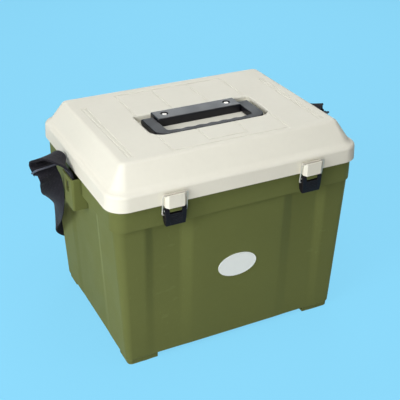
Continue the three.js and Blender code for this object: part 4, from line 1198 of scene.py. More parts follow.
# The left adjuster: its middle, and its directions along its bars, across them and out of its face
ADJUSTER_CENTRE = Vector((-263.4, 22.9, 304.5)) * MM
TILT = math.radians(36)
PLATE_U = level_way(13.7)
PLATE_S = UP.cross(PLATE_U) * math.cos(TILT) + UP * -math.sin(TILT)
PLATE_N = PLATE_U.cross(PLATE_S)

# How far its rear bar lies from its middle, and its thickness
REAR_BAR = 9.25 * MM
PLATE_THICK = 3 * MM


def on_plate(across, out):
    """A place on the left adjuster, across its bars and out from its plate."""
    return ADJUSTER_CENTRE + PLATE_S * across + PLATE_N * out


# The route of the webbing beside and behind the tub, in shares of the rim's half width, its half
# depth and its height, with the turn of the band's inner face round Z at each place
ROUTE_SHARES = [
    (-1.145, 0.094, 0.925, 86),
    (-1.13, 0.135, 0.85, 66),
    (-1.1, 0.225, 0.765, 40),
    (-1.053, 0.385, 0.665, 16),
    (-1.004, 0.635, 0.545, 0),
    (-0.96, 0.885, 0.415, -26),
    (-0.83, 1.035, 0.3, -62),
    (-0.62, 1.045, 0.23, -84),
    (-0.32, 1.045, 0.19, -90),
    (0, 1.045, 0.178, -90),
]


def spline_point(points, share):
    """A place on the smooth curve through points, by its share of the way."""
    count = len(points)
    spot = (count - 1) * share
    first = min(int(spot), count - 2)
    along = spot - first
    b, c = points[first], points[first + 1]
    a = points[first - 1] if first else 2 * b - c
    d = points[first + 2] if first + 2 < count else 2 * c - b
    s0, s1, s2 = ((q - p).length ** 0.5 for p, q in ((a, b), (b, c), (c, d)))
    s1 = s1 if s1 > 1e-4 else 1.0
    s0 = s0 if s0 > 1e-4 else s1
    s2 = s2 if s2 > 1e-4 else s1
    leave = ((b - a) / s0 - (c - a) / (s0 + s1) + (c - b) / s1) * s1
    reach = ((c - b) / s1 - (d - b) / (s1 + s2) + (d - c) / s2) * s1
    square = -3 * b + 3 * c - 2 * leave - reach
    cube = 2 * b - 2 * c + leave + reach
    return b + leave * along + square * along**2 + cube * along**3


def spline_way(points, share):
    """The direction of that curve."""
    low, high = max(share - 1e-4, 0), min(share + 1e-4, 1)
    return (spline_point(points, high) - spline_point(points, low)).normalized()


def stations_along(points, widths, steps):
    """Places along a curve with the directions across the band and through it."""
    made = []
    for i in range(steps + 1):
        share = i / steps
        way = spline_way(points, share)
        across = spline_point(widths, share)
        across = (across - way * across.dot(way)).normalized()
        made.append((spline_point(points, share), across, way.cross(across).normalized()))
    return made


def webbing_stations(thick):
    """The main webbing, from its tail in the left adjuster round the back to the right one."""
    wrap, half, tail = 1.9 * MM + thick / 2, PLATE_THICK / 2, 7 * MM
    start = [(on_plate(wrap, -tail), PLATE_U, PLATE_S)]
    for i in range(7):
        turn = math.pi * i / 6
        out = PLATE_S * math.cos(turn) + PLATE_N * math.sin(turn)
        start.append((on_plate(0, half) + out * wrap, PLATE_U, out))
    start += [(on_plate(-wrap, -depth), PLATE_U, -PLATE_S) for depth in (half, tail)]
    rim = Vector((225, 170.7, 304)) * MM
    route = [on_plate(-wrap, -tail), on_plate(-wrap, -2 * tail)]
    route += [Vector((x * rim.x, y * rim.y, z * rim.z)) for x, y, z, _ in ROUTE_SHARES]
    faces = [PLATE_S, PLATE_S, *(level_way(turn) for *_, turn in ROUTE_SHARES)]
    last = len(route) - 1
    widths = [spline_way(route, i / last).cross(face).normalized() for i, face in enumerate(faces)]
    left = start + stations_along(route, widths, 72)[1:]
    # On the middle plane the band stands upright, so that the two halves meet in one edge
    left[-1] = (Vector((0, *left[-1][0].yz)), -UP, Vector((0, 1, 0)))
    flip = lambda v: Vector((-v.x, v.y, v.z))
    right = [(flip(p), flip(a), flip(t)) for p, a, t in reversed(left[:-1])]
    return left + right


def end_stations(thick):
    """The left end loop: round the bar in the tub's boss and round the adjuster's rear bar."""
    air = 0.4 * MM
    layer = thick / 2 + air / 2
    boss_wrap, plate_wrap = 2.4 * MM + air + thick / 2, 1.75 * MM + air + thick / 2
    bar = Vector((-LOOP_BAR[0], *LOOP_BAR[1:])) * MM
    along = Vector((0, 1, 0))
    # The crest over the boss, in shares of its reach outwards, backwards and upwards
    reach = Vector((35.8, 20.9, 21)) * MM
    crest = [
        (0.07, 0, 0),
        (0.17, 0.05, 0.55),
        (0.34, 0.32, 1.15),
        (0.58, 0.8, 1.42),
        (0.84, 1.25, 1.28),
    ]
    points = [bar + UP * boss_wrap]
    for a, b, c in crest:
        points.append(
            Vector((bar.x - a * reach.x, bar.y + b * reach.y, LOOP_TOP + c * reach.z))
        )
    points += [
        on_plate(REAR_BAR + layer, 5 * PLATE_THICK),
        on_plate(REAR_BAR, PLATE_THICK),
        on_plate(REAR_BAR, -PLATE_THICK / 2),
    ]
    turned = [Vector((0.5, 0.85, 0)), Vector((0.75, 0.65, 0)), Vector((0.92, 0.4, 0))]
    widths = [along, along, along, *turned, PLATE_U, PLATE_U, PLATE_U]
    centre = stations_along(points, widths, 40)
    last, spans = len(centre) - 1, len(points) - 1

    def layered(i, side):
        """A place on one of the two layers, which part to pass their bars."""
        spot = spans * i / last
        near_boss, near_plate = min(max(1 - spot, 0), 1), min(max(2 - spans + spot, 0), 1)
        size = layer + (boss_wrap - layer) * near_boss + (plate_wrap - layer) * near_plate
        place, across, through = centre[i]
        return place + through * (side * size), across, through * side

    def bend(middle_of, first, second, radius, across):
        """Half a turn round a bar, from one direction towards the second."""
        turns = [math.pi * i / 10 for i in range(11)]
        outs = [first * math.cos(t) - second * math.sin(t) for t in turns]
        return [(middle_of + out * radius, across, out) for out in outs]

    begin = last - 10
    made = [layered(i, 1) for i in range(begin, -1, -1)]
    made += bend(bar, centre[0][2], UP, boss_wrap, along)
    made += [layered(i, -1) for i in range(last + 1)]
    rear = on_plate(REAR_BAR, -PLATE_THICK / 2)
    made += bend(rear, -centre[last][2], PLATE_N, plate_wrap, PLATE_U)
    made += [layered(i, 1) for i in range(last, begin + 1, -1)]
    return made


def ribbon(name, stations, half, thick, columns=8):
    """A flat band through stations, with a UV map in metres along it and across it."""
    side_spare, face_spare, edge = 0.3 * MM, 0.1 * MM, 0.45 * MM
    rows = len(stations) - 1
    bpy.ops.object.select_all(action="DESELECT")
    bpy.ops.mesh.primitive_grid_add(x_subdivisions=columns, y_subdivisions=rows, size=1)
    band = bpy.context.active_object
    band.name = name
    order = sorted(band.data.vertices, key=lambda v: (round(v.co.y, 6), round(v.co.x, 6)))
    spots, travelled = {}, 0.0
    for row, (place, across, _) in enumerate(stations):
        if row:
            travelled += (place - stations[row - 1][0]).length
        for column in range(columns + 1):
            share = 2 * column / columns - 1
            vertex = order[row * (columns + 1) + column]
            vertex.co = place + across * (share * (half - side_spare))
            spots[vertex.index] = (share * half, travelled)
    layer = band.data.uv_layers.active or band.data.uv_layers.new(name="UVMap")
    for loop in band.data.loops:
        layer.data[loop.index].uv = spots[loop.vertex_index]
    modify(band, "SOLIDIFY", thickness=thick - face_spare, offset=0)
    with edit_mode(band):
        round_edges(lambda e: e.calc_face_angle(0) > 1.2, edge, 2)
    return band


class SEATBOX_OT_strap(bpy.types.Operator):
    """Models the shoulder strap: the main webbing, its two end loops and the slide adjusters."""

    bl_idname = "seat_box.strap"
    bl_label = "Strap"

    def execute(self, context):
        strap = context.scene.seat_box_strap
        half, thick = strap.width / 2, strap.thickness
        main_band = ribbon("webbing_band", webbing_stations(thick), half, thick)
        smooth(main_band, 50)
        dress(main_band, "black_webbing", "tub_body", "black_webbing", "strap_webbing")
        loop = ribbon("end_loop_left", end_stations(thick), half, thick)
        adjuster = make_adjuster()
        sets = {"left": (loop, adjuster)}
        sets["right"] = (mirrored(loop, "end_loop_right"), mirrored(adjuster, "adjuster_right"))
        for side, (end, slide) in sets.items():
            smooth(end, 50)
            smooth(slide)
            dress(end, "black_webbing", "tub_body", "black_webbing", f"strap_end_{side}")
            dress(slide, "grey_plastic", "tub_body", "grey_plastic", f"strap_adjuster_{side}")
        return {"FINISHED"}


def make_adjuster():
    """The left slide adjuster: a plate with two slots and three bars."""
    half_u, half_s, corner, edge = 22.5 * MM, 11 * MM, 3.5 * MM, 0.8 * MM
    near, slot, slot_u, slot_corner, through = 1.5 * MM, 6 * MM, 19.8 * MM, 0.9 * MM, 10 * MM
    limits = (spread(half) for half in (half_u, half_s, PLATE_THICK / 2))
    slide = slab("adjuster_left", *limits, (corner, corner), 8)
    with edit_mode(slide):
        round_edges(lambda e: not upright(e), edge, 3)
    for s in SIDES.values():
        spans, corners = sorted((s * near, s * (near + slot))), (slot_corner, slot_corner)
        combine(slide, [slab("slot", spread(slot_u), spans, spread(through), corners, 3)])
    axes = Matrix((PLATE_U, PLATE_S, PLATE_N)).transposed().to_4x4()
    slide.matrix_world = Matrix.Translation(ADJUSTER_CENTRE) @ axes
    return settle(slide)


# Label plate

class SEATBOX_OT_label(bpy.types.Operator):
    """Models the bare oval plate on the front, with a rounded rim and a shallow dish."""

    bl_idname = "seat_box.label"
    bl_label = "Label plate"

    def execute(self, context):
        low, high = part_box("label")
        half_x, half_z, thick, proud = 36 * MM, 22 * MM, 0.8 * MM, 0.4 * MM
        border, bevel, dish, edge = 1.4 * MM, 0.5 * MM, 0.3 * MM, 0.2 * MM
        bpy.ops.object.select_all(action="DESELECT")
        bpy.ops.mesh.primitive_circle_add(vertices=96, radius=1, fill_type="NGON")
        plate_piece = bpy.context.active_object
        plate_piece.name = "label_plate"
        plate_piece.scale = (half_x, half_z, 1)
        settle(plate_piece)
        with edit_mode(plate_piece):
            bpy.ops.mesh.select_all(action="SELECT")
            rise(thick)
            choose("FACE", lambda f: f.normal.z > 0.9)
            step(border, 0)
            step(bevel, -dish)
            # Every edge of the flat border, but for the two on the plate's middle line
            round_edges(lambda e: at_height(thick)(e) and any(v.co.x for v in e.verts), edge, 2)
        outward(plate_piece)
        # The plate leans with the tub's front wall
        lean = math.atan2(6.2, 255.5)
        plate_piece.rotation_euler = (math.pi / 2 + lean, 0, 0)
        plate_piece.location = (0, (low.y + high.y) / 2 + proud, (low.z + high.z) / 2)
        settle(plate_piece)
        smooth(plate_piece)
        dress(plate_piece, "white_label", "tub_body", "white_label", "label")
        return {"FINISHED"}


# Finishes

def add(tree, kind, sources=None, **values):
    """Adds a node with its values, and feeds its inputs from sockets or plain values."""
    node = tree.nodes.new(f"ShaderNode{kind}")
    for key, value in values.items():
        setattr(node, key, value)
    for key, source in (sources or {}).items():
        if isinstance(source, bpy.types.NodeSocket):
            tree.links.new(source, node.inputs[key])
        else:
            node.inputs[key].default_value = source
    return node


def maths(tree, operation, a, b=0.0, clamp=False):
    """The result of a sum on two values."""
    return add(tree, "Math", {0: a, 1: b}, operation=operation, use_clamp=clamp).outputs[0]


def times(tree, a, b, clamp=False):
    """One value times another."""
    return maths(tree, "MULTIPLY", a, b, clamp)


def plus(tree, a, b, clamp=False):
    """Two values added."""
    return maths(tree, "ADD", a, b, clamp)


def ranged(tree, value, low, high, to_low=0.0, to_high=1.0):
    """A value taken smoothly from one range to another."""
    sources = {
        "Value": value, "From Min": low, "From Max": high, "To Min": to_low, "To Max": to_high
    }
    return add(tree, "MapRange", sources, interpolation_type="SMOOTHSTEP").outputs[0]


def mixed(tree, factor, a, b, blend="MIX"):
    """One colour laid over another by a factor."""
    node = add(tree, "Mix", {0: factor, 6: a, 7: b}, data_type="RGBA", blend_type=blend)
    return node.outputs[2]


def noise(tree, place, scale, detail=3.0, roughness=0.55):
    """A noise at a place, between 0 and 1."""
    sources = {"Vector": place, "Scale": scale, "Detail": detail, "Roughness": roughness}
    return add(tree, "TexNoise", sources).outputs["Fac"]


def group(name, inputs, outputs):
    """An empty node group with named sockets, and its inner ends."""
    tree = bpy.data.node_groups.new(name, "ShaderNodeTree")
    for label, (kind, default) in inputs.items():
        socket = tree.interface.new_socket(label, in_out="INPUT", socket_type=f"NodeSocket{kind}")
        socket.default_value = default
    for label, kind in outputs.items():
        tree.interface.new_socket(label, in_out="OUTPUT", socket_type=f"NodeSocket{kind}")
    return tree, tree.nodes.new("NodeGroupInput").outputs, tree.nodes.new("NodeGroupOutput").inputs


def use(tree, name, sources):
    """Places a node group and feeds its inputs."""
    return add(tree, "Group", sources, node_tree=bpy.data.node_groups[name]).outputs


def object_place(tree):
    """The place on the piece, in metres."""
    return add(tree, "TexCoord").outputs["Object"]


def build_moulded_grain():
    """The fine spark-eroded grain of a mould, as a height."""
    tree, given, result = group(
        "moulded_grain", {"Scale": ("Float", 900.0), "Coarse": ("Float", 0.35)}, {"Height": "Float"}
    )
    place = object_place(tree)
    fine = noise(tree, place, given["Scale"], 2.0, 0.6)
    sources = {"Vector": place, "Scale": times(tree, given["Scale"], 0.45)}
    cells = add(tree, "TexVoronoi", sources, feature="SMOOTH_F1").outputs["Distance"]
    rough = times(tree, cells, given["Coarse"])
    tree.links.new(plus(tree, fine, rough), result["Height"])


def build_colour_drift():
    """Slow cloudy changes of a colour, lighter and darker."""
    tree, given, result = group(
        "colour_drift",
        {
            "Color": ("Color", (0.5, 0.5, 0.5, 1)),
            "Scale": ("Float", 9.0),
            "Amount": ("Float", 0.12),
        },
        {"Color": "Color"},
    )
    place = object_place(tree)
    broad = noise(tree, place, given["Scale"], 2.0)
    close = noise(tree, place, times(tree, given["Scale"], 14.0), 3.0)
    both = plus(tree, times(tree, broad, 0.7), times(tree, close, 0.3))
    swing = times(tree, maths(tree, "SUBTRACT", both, 0.5), given["Amount"])
    value = plus(tree, times(tree, swing, 4.0), 1.0)
    shift = add(tree, "HueSaturation", {"Value": value, "Color": given["Color"]})
    tree.links.new(shift.outputs["Color"], result["Color"])


def build_edge_wear():
    """A mask of the edges that hands and the ground have rubbed."""
    tree, given, result = group(
        "edge_wear",
        {"Radius": ("Float", 0.002), "Scale": ("Float", 60.0), "Amount": ("Float", 0.5)},
        {"Mask": "Float"},
    )
    round_normal = add(tree, "Bevel", {"Radius": given["Radius"]}, samples=6).outputs["Normal"]
    flat_normal = add(tree, "NewGeometry").outputs["Normal"]
    along = add(tree, "VectorMath", {0: round_normal, 1: flat_normal}, operation="DOT_PRODUCT")
    turn = maths(tree, "SUBTRACT", 1.0, along.outputs["Value"])
    edge = ranged(tree, turn, 0.015, 0.16)
    patches = ranged(tree, noise(tree, object_place(tree), given["Scale"], 4.0), 0.32, 0.68)
    rubbed = times(tree, edge, plus(tree, times(tree, patches, 0.7), 0.3))
    tree.links.new(times(tree, rubbed, given["Amount"], clamp=True), result["Mask"])


def build_scuffs():
    """A mask of sparse thin scratches in two directions."""
    tree, given, result = group(
        "scuffs", {"Scale": ("Float", 30.0), "Amount": ("Float", 0.4)}, {"Mask": "Float"}
    )
    place = object_place(tree)
    lines = []
    ways = (((0.4, 0.2, 0.7), (1.0, 14.0, 2.5)), ((1.1, 0.6, -0.5), (12.0, 1.0, 3.0)))
    for turn, stretch in ways:
        sources = {"Vector": place, "Rotation": turn, "Scale": stretch}
        turned = add(tree, "Mapping", sources).outputs[0]
        lines.append(ranged(tree, noise(tree, turned, given["Scale"], 2.0, 0.4), 0.66, 0.72))
    patches = ranged(tree, noise(tree, place, 11.0, 2.0), 0.5, 0.66)
    both = maths(tree, "MAXIMUM", *lines)
    mask = times(tree, times(tree, both, patches), given["Amount"], clamp=True)
    tree.links.new(mask, result["Mask"])


def build_crevice_shade():
    """A mask of painted shade in the corners, grooves and recesses, from ambient occlusion, in
    patches.
    """
    tree, given, result = group(
        "crevice_shade", {"Distance": ("Float", 0.006), "Amount": ("Float", 0.5)}, {"Mask": "Float"}
    )
    sources = {"Distance": given["Distance"]}
    # Painted shade: the less open a place is to its surroundings, the more it is darkened
    reach = add(tree, "AmbientOcclusion", sources, samples=6, only_local=True).outputs["AO"]
    shade_mask = ranged(tree, reach, 0.35, 0.95, 1.0, 0.0)
    patches = ranged(tree, noise(tree, object_place(tree), 40.0, 4.0), 0.25, 0.7, 0.45, 1.0)
    mask = times(tree, times(tree, shade_mask, patches), given["Amount"], clamp=True)
    tree.links.new(mask, result["Mask"])


def build_dust():
    """A mask of fine dust on the faces that look up."""
    tree, given, result = group(
        "dust", {"Scale": ("Float", 18.0), "Amount": ("Float", 0.2)}, {"Mask": "Float"}
    )
    facing = add(tree, "SeparateXYZ", {0: add(tree, "NewGeometry").outputs["Normal"]}).outputs["Z"]
    upward = ranged(tree, facing, 0.2, 0.95)
    patches = ranged(tree, noise(tree, object_place(tree), given["Scale"], 5.0, 0.65), 0.4, 0.72)
    specks = ranged(tree, noise(tree, object_place(tree), 700.0, 2.0), 0.6, 0.72)
    cover = plus(tree, times(tree, patches, 0.6), times(tree, specks, 0.4))
    mask = times(tree, times(tree, upward, cover), given["Amount"], clamp=True)
    tree.links.new(mask, result["Mask"])


def build_webbing_weave():
    """Flat webbing: ribs across the band, bound by warp columns, as a height and a shade."""
    tree, given, result = group(
        "webbing_weave",
        {"Pitch": ("Float", 0.0019), "Column": ("Float", 0.0024)},
        {"Height": "Float", "Shade": "Float"},
    )
    spot = add(tree, "SeparateXYZ", {0: add(tree, "TexCoord").outputs["UV"]}).outputs
    column = maths(tree, "DIVIDE", spot["X"], given["Column"])
    odd = times(tree, maths(tree, "PINGPONG", maths(tree, "FLOOR", column), 1.0), 0.5)
    row = plus(tree, maths(tree, "DIVIDE", spot["Y"], given["Pitch"]), odd)
    warp = maths(tree, "ABSOLUTE", maths(tree, "SINE", times(tree, column, math.pi)))
    weft = maths(tree, "ABSOLUTE", maths(tree, "SINE", times(tree, row, math.pi)))
    knit = times(tree, maths(tree, "POWER", warp, 0.5), maths(tree, "POWER", weft, 0.6))
    spun = add(tree, "CombineXYZ", {0: spot["X"], 1: times(tree, spot["Y"], 0.3)}).outputs[0]
    fibres = noise(tree, spun, 3200.0, 2.0)
    height = plus(tree, knit, times(tree, fibres, 0.25))
    tree.links.new(height, result["Height"])
    tree.links.new(ranged(tree, height, 0.2, 1.1), result["Shade"])


def scaled(base, scales):
    """A colour with each of its three parts scaled."""
    return tuple(part * scale for part, scale in zip(base, scales))


def surface(name):
    """A new material with its shader and its tree, named apart from the frame's own materials."""
    material = bpy.data.materials.new(f"{name}_look")
    material.use_nodes = True
    tree = material.node_tree
    return tree, tree.nodes["Principled BSDF"].inputs


def bump(tree, height, distance, strength=1.0):
    """A surface normal raised by a height."""
    sources = {"Height": height, "Distance": distance, "Strength": strength}
    return add(tree, "Bump", sources).outputs["Normal"]


def moulding(name, base, *, pale, shade_tone, roughness, grain, wear, drift, dust, gloss):
    """A moulded plastic with grain, drift of colour, rubbed edges, scuffs, painted shade in its
    crevices and dust.
    """
    tree, shader = surface(name)
    sources = {"Color": (*base, 1), "Scale": 8.0, "Amount": drift}
    tinted = use(tree, "colour_drift", sources)["Color"]
    rubbed = use(tree, "edge_wear", {"Radius": 0.0022, "Scale": 55.0, "Amount": wear})["Mask"]
    scratched = use(tree, "scuffs", {"Scale": 34.0, "Amount": wear * 0.6})["Mask"]
    worn = maths(tree, "MAXIMUM", rubbed, scratched)
    paler = mixed(tree, worn, tinted, (*pale, 1))
    # Painted shade: corners, grooves and recesses are darkened towards the shade tone, in patches
    shade_mask = use(tree, "crevice_shade", {"Distance": 0.006, "Amount": 0.6})["Mask"]
    darker = mixed(tree, shade_mask, paler, (*shade_tone, 1))
    settled = use(tree, "dust", {"Scale": 16.0, "Amount": dust})["Mask"]
    dusty = mixed(tree, settled, darker, (0.52, 0.5, 0.45, 1))
    tree.links.new(dusty, shader["Base Color"])
    patches = noise(tree, object_place(tree), 22.0, 3.0)
    base_rough = ranged(tree, patches, 0.3, 0.7, roughness - 0.05, roughness + 0.06)
    rough = plus(tree, base_rough, times(tree, settled, 0.3), clamp=True)
    tree.links.new(rough, shader["Roughness"])
    height = use(tree, "moulded_grain", {"Scale": grain, "Coarse": 0.35})["Height"]
    lowered = maths(tree, "SUBTRACT", height, times(tree, scratched, 2.0))
    tree.links.new(bump(tree, lowered, 0.00009, 0.8), shader["Normal"])
    shader["Specular IOR Level"].default_value = gloss
    return shader


def metal(name, base, *, roughness, grain, metallic=0.9):
    """A plated steel with drawn lines, a few dull spots and smears."""
    tree, shader = surface(name)
    place = object_place(tree)
    drawn = add(tree, "Mapping", {"Vector": place, "Scale": (0.06, 1.0, 1.0)}).outputs[0]
    lines = noise(tree, drawn, 2600.0, 2.0)
    smears = noise(tree, place, 90.0, 4.0)
    spots = ranged(tree, noise(tree, place, 420.0, 3.0), 0.62, 0.74)
    dull = tuple(0.55 * part for part in base)
    spotted = mixed(tree, times(tree, spots, 0.6), (*base, 1), (*dull, 1))
    tree.links.new(spotted, shader["Base Color"])
    smeared = ranged(tree, smears, 0.3, 0.7, roughness - 0.06, roughness + 0.1)
    rough = plus(tree, smeared, times(tree, spots, 0.2), clamp=True)
    tree.links.new(rough, shader["Roughness"])
    tree.links.new(bump(tree, times(tree, lines, grain), 0.00004, 0.6), shader["Normal"])
    shader["Metallic"].default_value = metallic


def fabric(name, base, strap):
    """Woven polypropylene webbing."""
    tree, shader = surface(name)
    woven = use(tree, "webbing_weave", {"Pitch": strap.rib_pitch, "Column": 0.0024})
    # Painted shade and highlight: the weave's hollows are darkened and its raised ribs lightened
    deep = tuple(0.45 * part for part in base)
    lit = tuple(min(1.35 * part, 1.0) for part in base)
    shaded = mixed(tree, woven["Shade"], (*deep, 1), (*lit, 1))
    tinted = use(tree, "colour_drift", {"Color": shaded, "Scale": 14.0, "Amount": 0.16})["Color"]
    fuzz = ranged(tree, noise(tree, object_place(tree), 260.0, 4.0), 0.52, 0.75, 0.0, 0.3)
    tree.links.new(mixed(tree, fuzz, tinted, (0.09, 0.088, 0.1, 1)), shader["Base Color"])
    tree.links.new(ranged(tree, woven["Shade"], 0.0, 1.0, 0.95, 0.74), shader["Roughness"])
    tree.links.new(bump(tree, woven["Height"], 0.0003, 0.9), shader["Normal"])
    shader["Specular IOR Level"].default_value = 0.15
    shader["Sheen Weight"].default_value = 0.08
    shader["Sheen Roughness"].default_value = 0.5


class SEATBOX_OT_finishes(bpy.types.Operator):
    """Builds the shared effects and the materials of every piece."""

    bl_idname = "seat_box.finishes"
    bl_label = "Finishes"

    def execute(self, context):
        finish = context.scene.seat_box_finish
        for build in (
            build_moulded_grain,
            build_colour_drift,
            build_edge_wear,
            build_scuffs,
            build_crevice_shade,
            build_dust,
            build_webbing_weave,
        ):
            build()
        black, steel = tuple(finish.black), tuple(finish.steel)
        # Each shade tone below is the colour of the painted shade in that moulding's crevices
        olive = moulding(
            "olive_plastic", tuple(finish.tub), pale=(0.24, 0.29, 0.11), shade_tone=(0.025, 0.029, 0.01),
            roughness=0.62, grain=700.0, wear=0.25, drift=0.06, dust=0.08, gloss=0.08,
        )
        olive["Sheen Weight"].default_value = 0.4
        olive["Sheen Roughness"].default_value = 0.4
        olive["Sheen Tint"].default_value = (0.75, 0.82, 0.36, 1)
        moulding(
            "cream_plastic", tuple(finish.lid), pale=(0.86, 0.84, 0.76), shade_tone=(0.27, 0.24, 0.17),
            roughness=0.55, grain=800.0, wear=0.2, drift=0.03, dust=0.06, gloss=0.15,
        )
        moulding(
            "black_plastic", black, pale=(0.08, 0.078, 0.085), shade_tone=(0.005, 0.005, 0.006),
            roughness=0.34, grain=900.0, wear=0.15, drift=0.1, dust=0.09, gloss=0.34,
        )
        moulding(
            "grip_plastic", black, pale=(0.07, 0.068, 0.075), shade_tone=(0.004, 0.004, 0.005),
            roughness=0.42, grain=900.0, wear=0.12, drift=0.1, dust=0.05, gloss=0.2,
        )
        lever = scaled(black, (1.5, 1.3, 1.15))
        moulding(
            "lever_plastic", lever, pale=(0.1, 0.095, 0.1), shade_tone=(0.002, 0.002, 0.002),
            roughness=0.42, grain=900.0, wear=0.3, drift=0.1, dust=0.05, gloss=0.12,
        )
        moulding(
            "grey_plastic", tuple(finish.adjuster), pale=(0.22, 0.22, 0.25),
            shade_tone=(0.03, 0.03, 0.04), roughness=0.4, grain=900.0, wear=0.35, drift=0.08,
            dust=0.06, gloss=0.3,
        )
        label = moulding(
            "white_label", tuple(finish.plate), pale=(0.9, 0.9, 0.89), shade_tone=(0.4, 0.38, 0.33),
            roughness=0.3, grain=500.0, wear=0.15, drift=0.02, dust=0.04, gloss=0.3,
        )
        label["Coat Weight"].default_value = 0.25
        label["Coat Roughness"].default_value = 0.12
        metal("bright_steel", steel, roughness=0.28, grain=1.0)
        wire = scaled(steel, (0.95, 0.9, 0.82))
        metal("wire_steel", wire, roughness=0.46, grain=1.0, metallic=0.4)
        metal("zinc_steel", tuple(0.8 * part for part in steel), roughness=0.38, grain=1.6)
        fabric("black_webbing", tuple(finish.webbing), context.scene.seat_box_strap)
        return {"FINISHED"}


# Stage

# In metres: the floor's side, and the radius, height and middle height of the wall round it
FLOOR_SIZE, BACKDROP_RADIUS, BACKDROP_HEIGHT, BACKDROP_MIDDLE = 60, 29, 10, 4.9

# The picture's width in pixels, and the camera's sensor in millimetres
PICTURE, SENSOR = 400, 36

# What the lamps face, and what the camera faces
LIT_POINT = Vector((0, 0, 0.2))
SEEN_POINT = Vector((14.41, 12.01, 184.82)) * MM

# The lamps' places, sizes and powers
LAMPS = {
    "key": ((-1.85, -0.75, 1.2), 0.9, 27),
    "overhead": ((0.1, -0.4, 2.3), 1.6, 20),
    "front": ((-0.95, -1.25, 0.45), 0.7, 7.5),
    "back": ((0.95, 1.75, 1.45), 1.3, 13),
}


def backdrop_material(shade):
    """The backdrop's colour to the eye and in gloss, and a neutral one to all other light."""
    tree, shader = surface("backdrop")
    path = add(tree, "LightPath").outputs
    seen = plus(tree, path["Is Camera Ray"], path["Is Glossy Ray"])
    seen = plus(tree, seen, path["Is Transmission Ray"], clamp=True)
    shaded = tuple(0.14 * part for part in shade)
    tree.links.new(mixed(tree, seen, (0.56, 0.55, 0.53, 1), (*shaded, 1)), shader["Base Color"])
    shader["Emission Color"].default_value = (*shade, 1)
    tree.links.new(times(tree, seen, 0.9), shader["Emission Strength"])
    shader["Roughness"].default_value = 1.0
    shader["Specular IOR Level"].default_value = 0.0


def softbox(name, place, size, power):
    """A square area light that faces the box."""
    light = bpy.data.lights.new(name, "AREA")
    light.size = size
    light.energy = power
    lamp = bpy.data.objects.new(name, light)
    lamp.location = place
    lamp.rotation_euler = (LIT_POINT - Vector(place)).to_track_quat("-Z", "Y").to_euler()
    lamp.visible_camera = False
    bpy.context.scene.collection.objects.link(lamp)


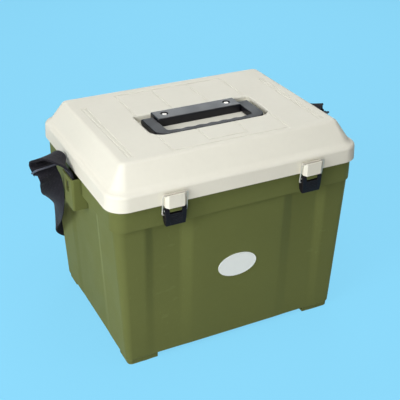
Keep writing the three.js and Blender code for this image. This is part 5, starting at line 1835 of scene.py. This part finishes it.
class SEATBOX_OT_stage(bpy.types.Operator):
    """Sets the floor, the wall round it, the soft lights and the camera."""

    bl_idname = "seat_box.stage"
    bl_label = "Stage"

    def execute(self, context):
        scene = context.scene
        stage = scene.seat_box_stage
        scene.view_settings.view_transform = "Standard"
        backdrop_material(tuple(stage.backdrop))
        bpy.ops.object.select_all(action="DESELECT")
        bpy.ops.mesh.primitive_plane_add(size=FLOOR_SIZE, location=(0, 0, 0))
        floor = bpy.context.active_object
        floor.name = "floor"
        bpy.ops.mesh.primitive_cylinder_add(
            vertices=96,
            radius=BACKDROP_RADIUS,
            depth=BACKDROP_HEIGHT,
            end_fill_type="NOTHING",
            location=(0, 0, BACKDROP_MIDDLE),
        )
        wall = bpy.context.active_object
        wall.name = "backdrop_wall"
        for piece in (floor, wall):
            piece.data.materials.append(bpy.data.materials["backdrop_look"])
        world = bpy.data.worlds.new("studio")
        world.use_nodes = True
        sky = world.node_tree.nodes["Background"].inputs
        sky["Color"].default_value = (0.95, 0.97, 1.0, 1)
        sky["Strength"].default_value = 0.1
        scene.world = world
        for name, lamp in LAMPS.items():
            softbox(name, *lamp)
        self.place_camera(scene, stage)
        return {"FINISHED"}

    def place_camera(self, scene, stage):
        """A camera at the photograph's angle."""
        azimuth, elevation = math.radians(stage.azimuth), math.radians(stage.elevation)
        back = Vector((
            math.sin(azimuth) * math.cos(elevation),
            -math.cos(azimuth) * math.cos(elevation),
            math.sin(elevation),
        ))
        right = (-back).cross(UP).normalized()
        up = right.cross(-back)
        roll = math.radians(stage.roll)
        turned_right = right * math.cos(roll) + up * math.sin(roll)
        turned_up = up * math.cos(roll) - right * math.sin(roll)
        lens = bpy.data.cameras.new("camera")
        lens.sensor_width = SENSOR
        lens.sensor_fit = "HORIZONTAL"
        lens.lens = stage.focal / PICTURE * SENSOR
        camera = bpy.data.objects.new("camera", lens)
        pose = Matrix((turned_right, turned_up, back)).transposed().to_4x4()
        camera.matrix_world = Matrix.Translation(SEEN_POINT + back * stage.distance) @ pose
        scene.collection.objects.link(camera)
        scene.camera = camera


# Panel and registration

OPERATORS = (
    SEATBOX_OT_finishes,
    SEATBOX_OT_tub,
    SEATBOX_OT_lid,
    SEATBOX_OT_handle,
    SEATBOX_OT_hinge_pins,
    SEATBOX_OT_latches,
    SEATBOX_OT_strap,
    SEATBOX_OT_label,
    SEATBOX_OT_stage,
)


class SEATBOX_PT_panel(bpy.types.Panel):
    """Lists the steps that model the box."""

    bl_label = "Seat box"
    bl_idname = "SEATBOX_PT_panel"
    bl_space_type = "VIEW_3D"
    bl_region_type = "UI"
    bl_category = "Seat box"

    def draw(self, context):
        for operator in OPERATORS:
            self.layout.operator(operator.bl_idname)


def register():
    """Adds the settings, the operators and the panel to Blender."""
    for settings in SETTINGS.values():
        bpy.utils.register_class(settings)
    for key, settings in SETTINGS.items():
        setattr(bpy.types.Scene, key, PointerProperty(type=settings))
    for operator in OPERATORS:
        bpy.utils.register_class(operator)
    bpy.utils.register_class(SEATBOX_PT_panel)


def unregister():
    """Takes the settings, the operators and the panel out of Blender."""
    bpy.utils.unregister_class(SEATBOX_PT_panel)
    for operator in reversed(OPERATORS):
        bpy.utils.unregister_class(operator)
    for key, settings in SETTINGS.items():
        delattr(bpy.types.Scene, key)
        bpy.utils.unregister_class(settings)


def main():
    """Models the box on its stage."""
    register()
    bpy.ops.seat_box.finishes()
    bpy.ops.seat_box.tub()
    bpy.ops.seat_box.lid()
    bpy.ops.seat_box.handle()
    bpy.ops.seat_box.hinge_pins()
    bpy.ops.seat_box.latches()
    bpy.ops.seat_box.strap()
    bpy.ops.seat_box.label()
    bpy.ops.seat_box.stage()


if __name__ == "__main__":
    main()
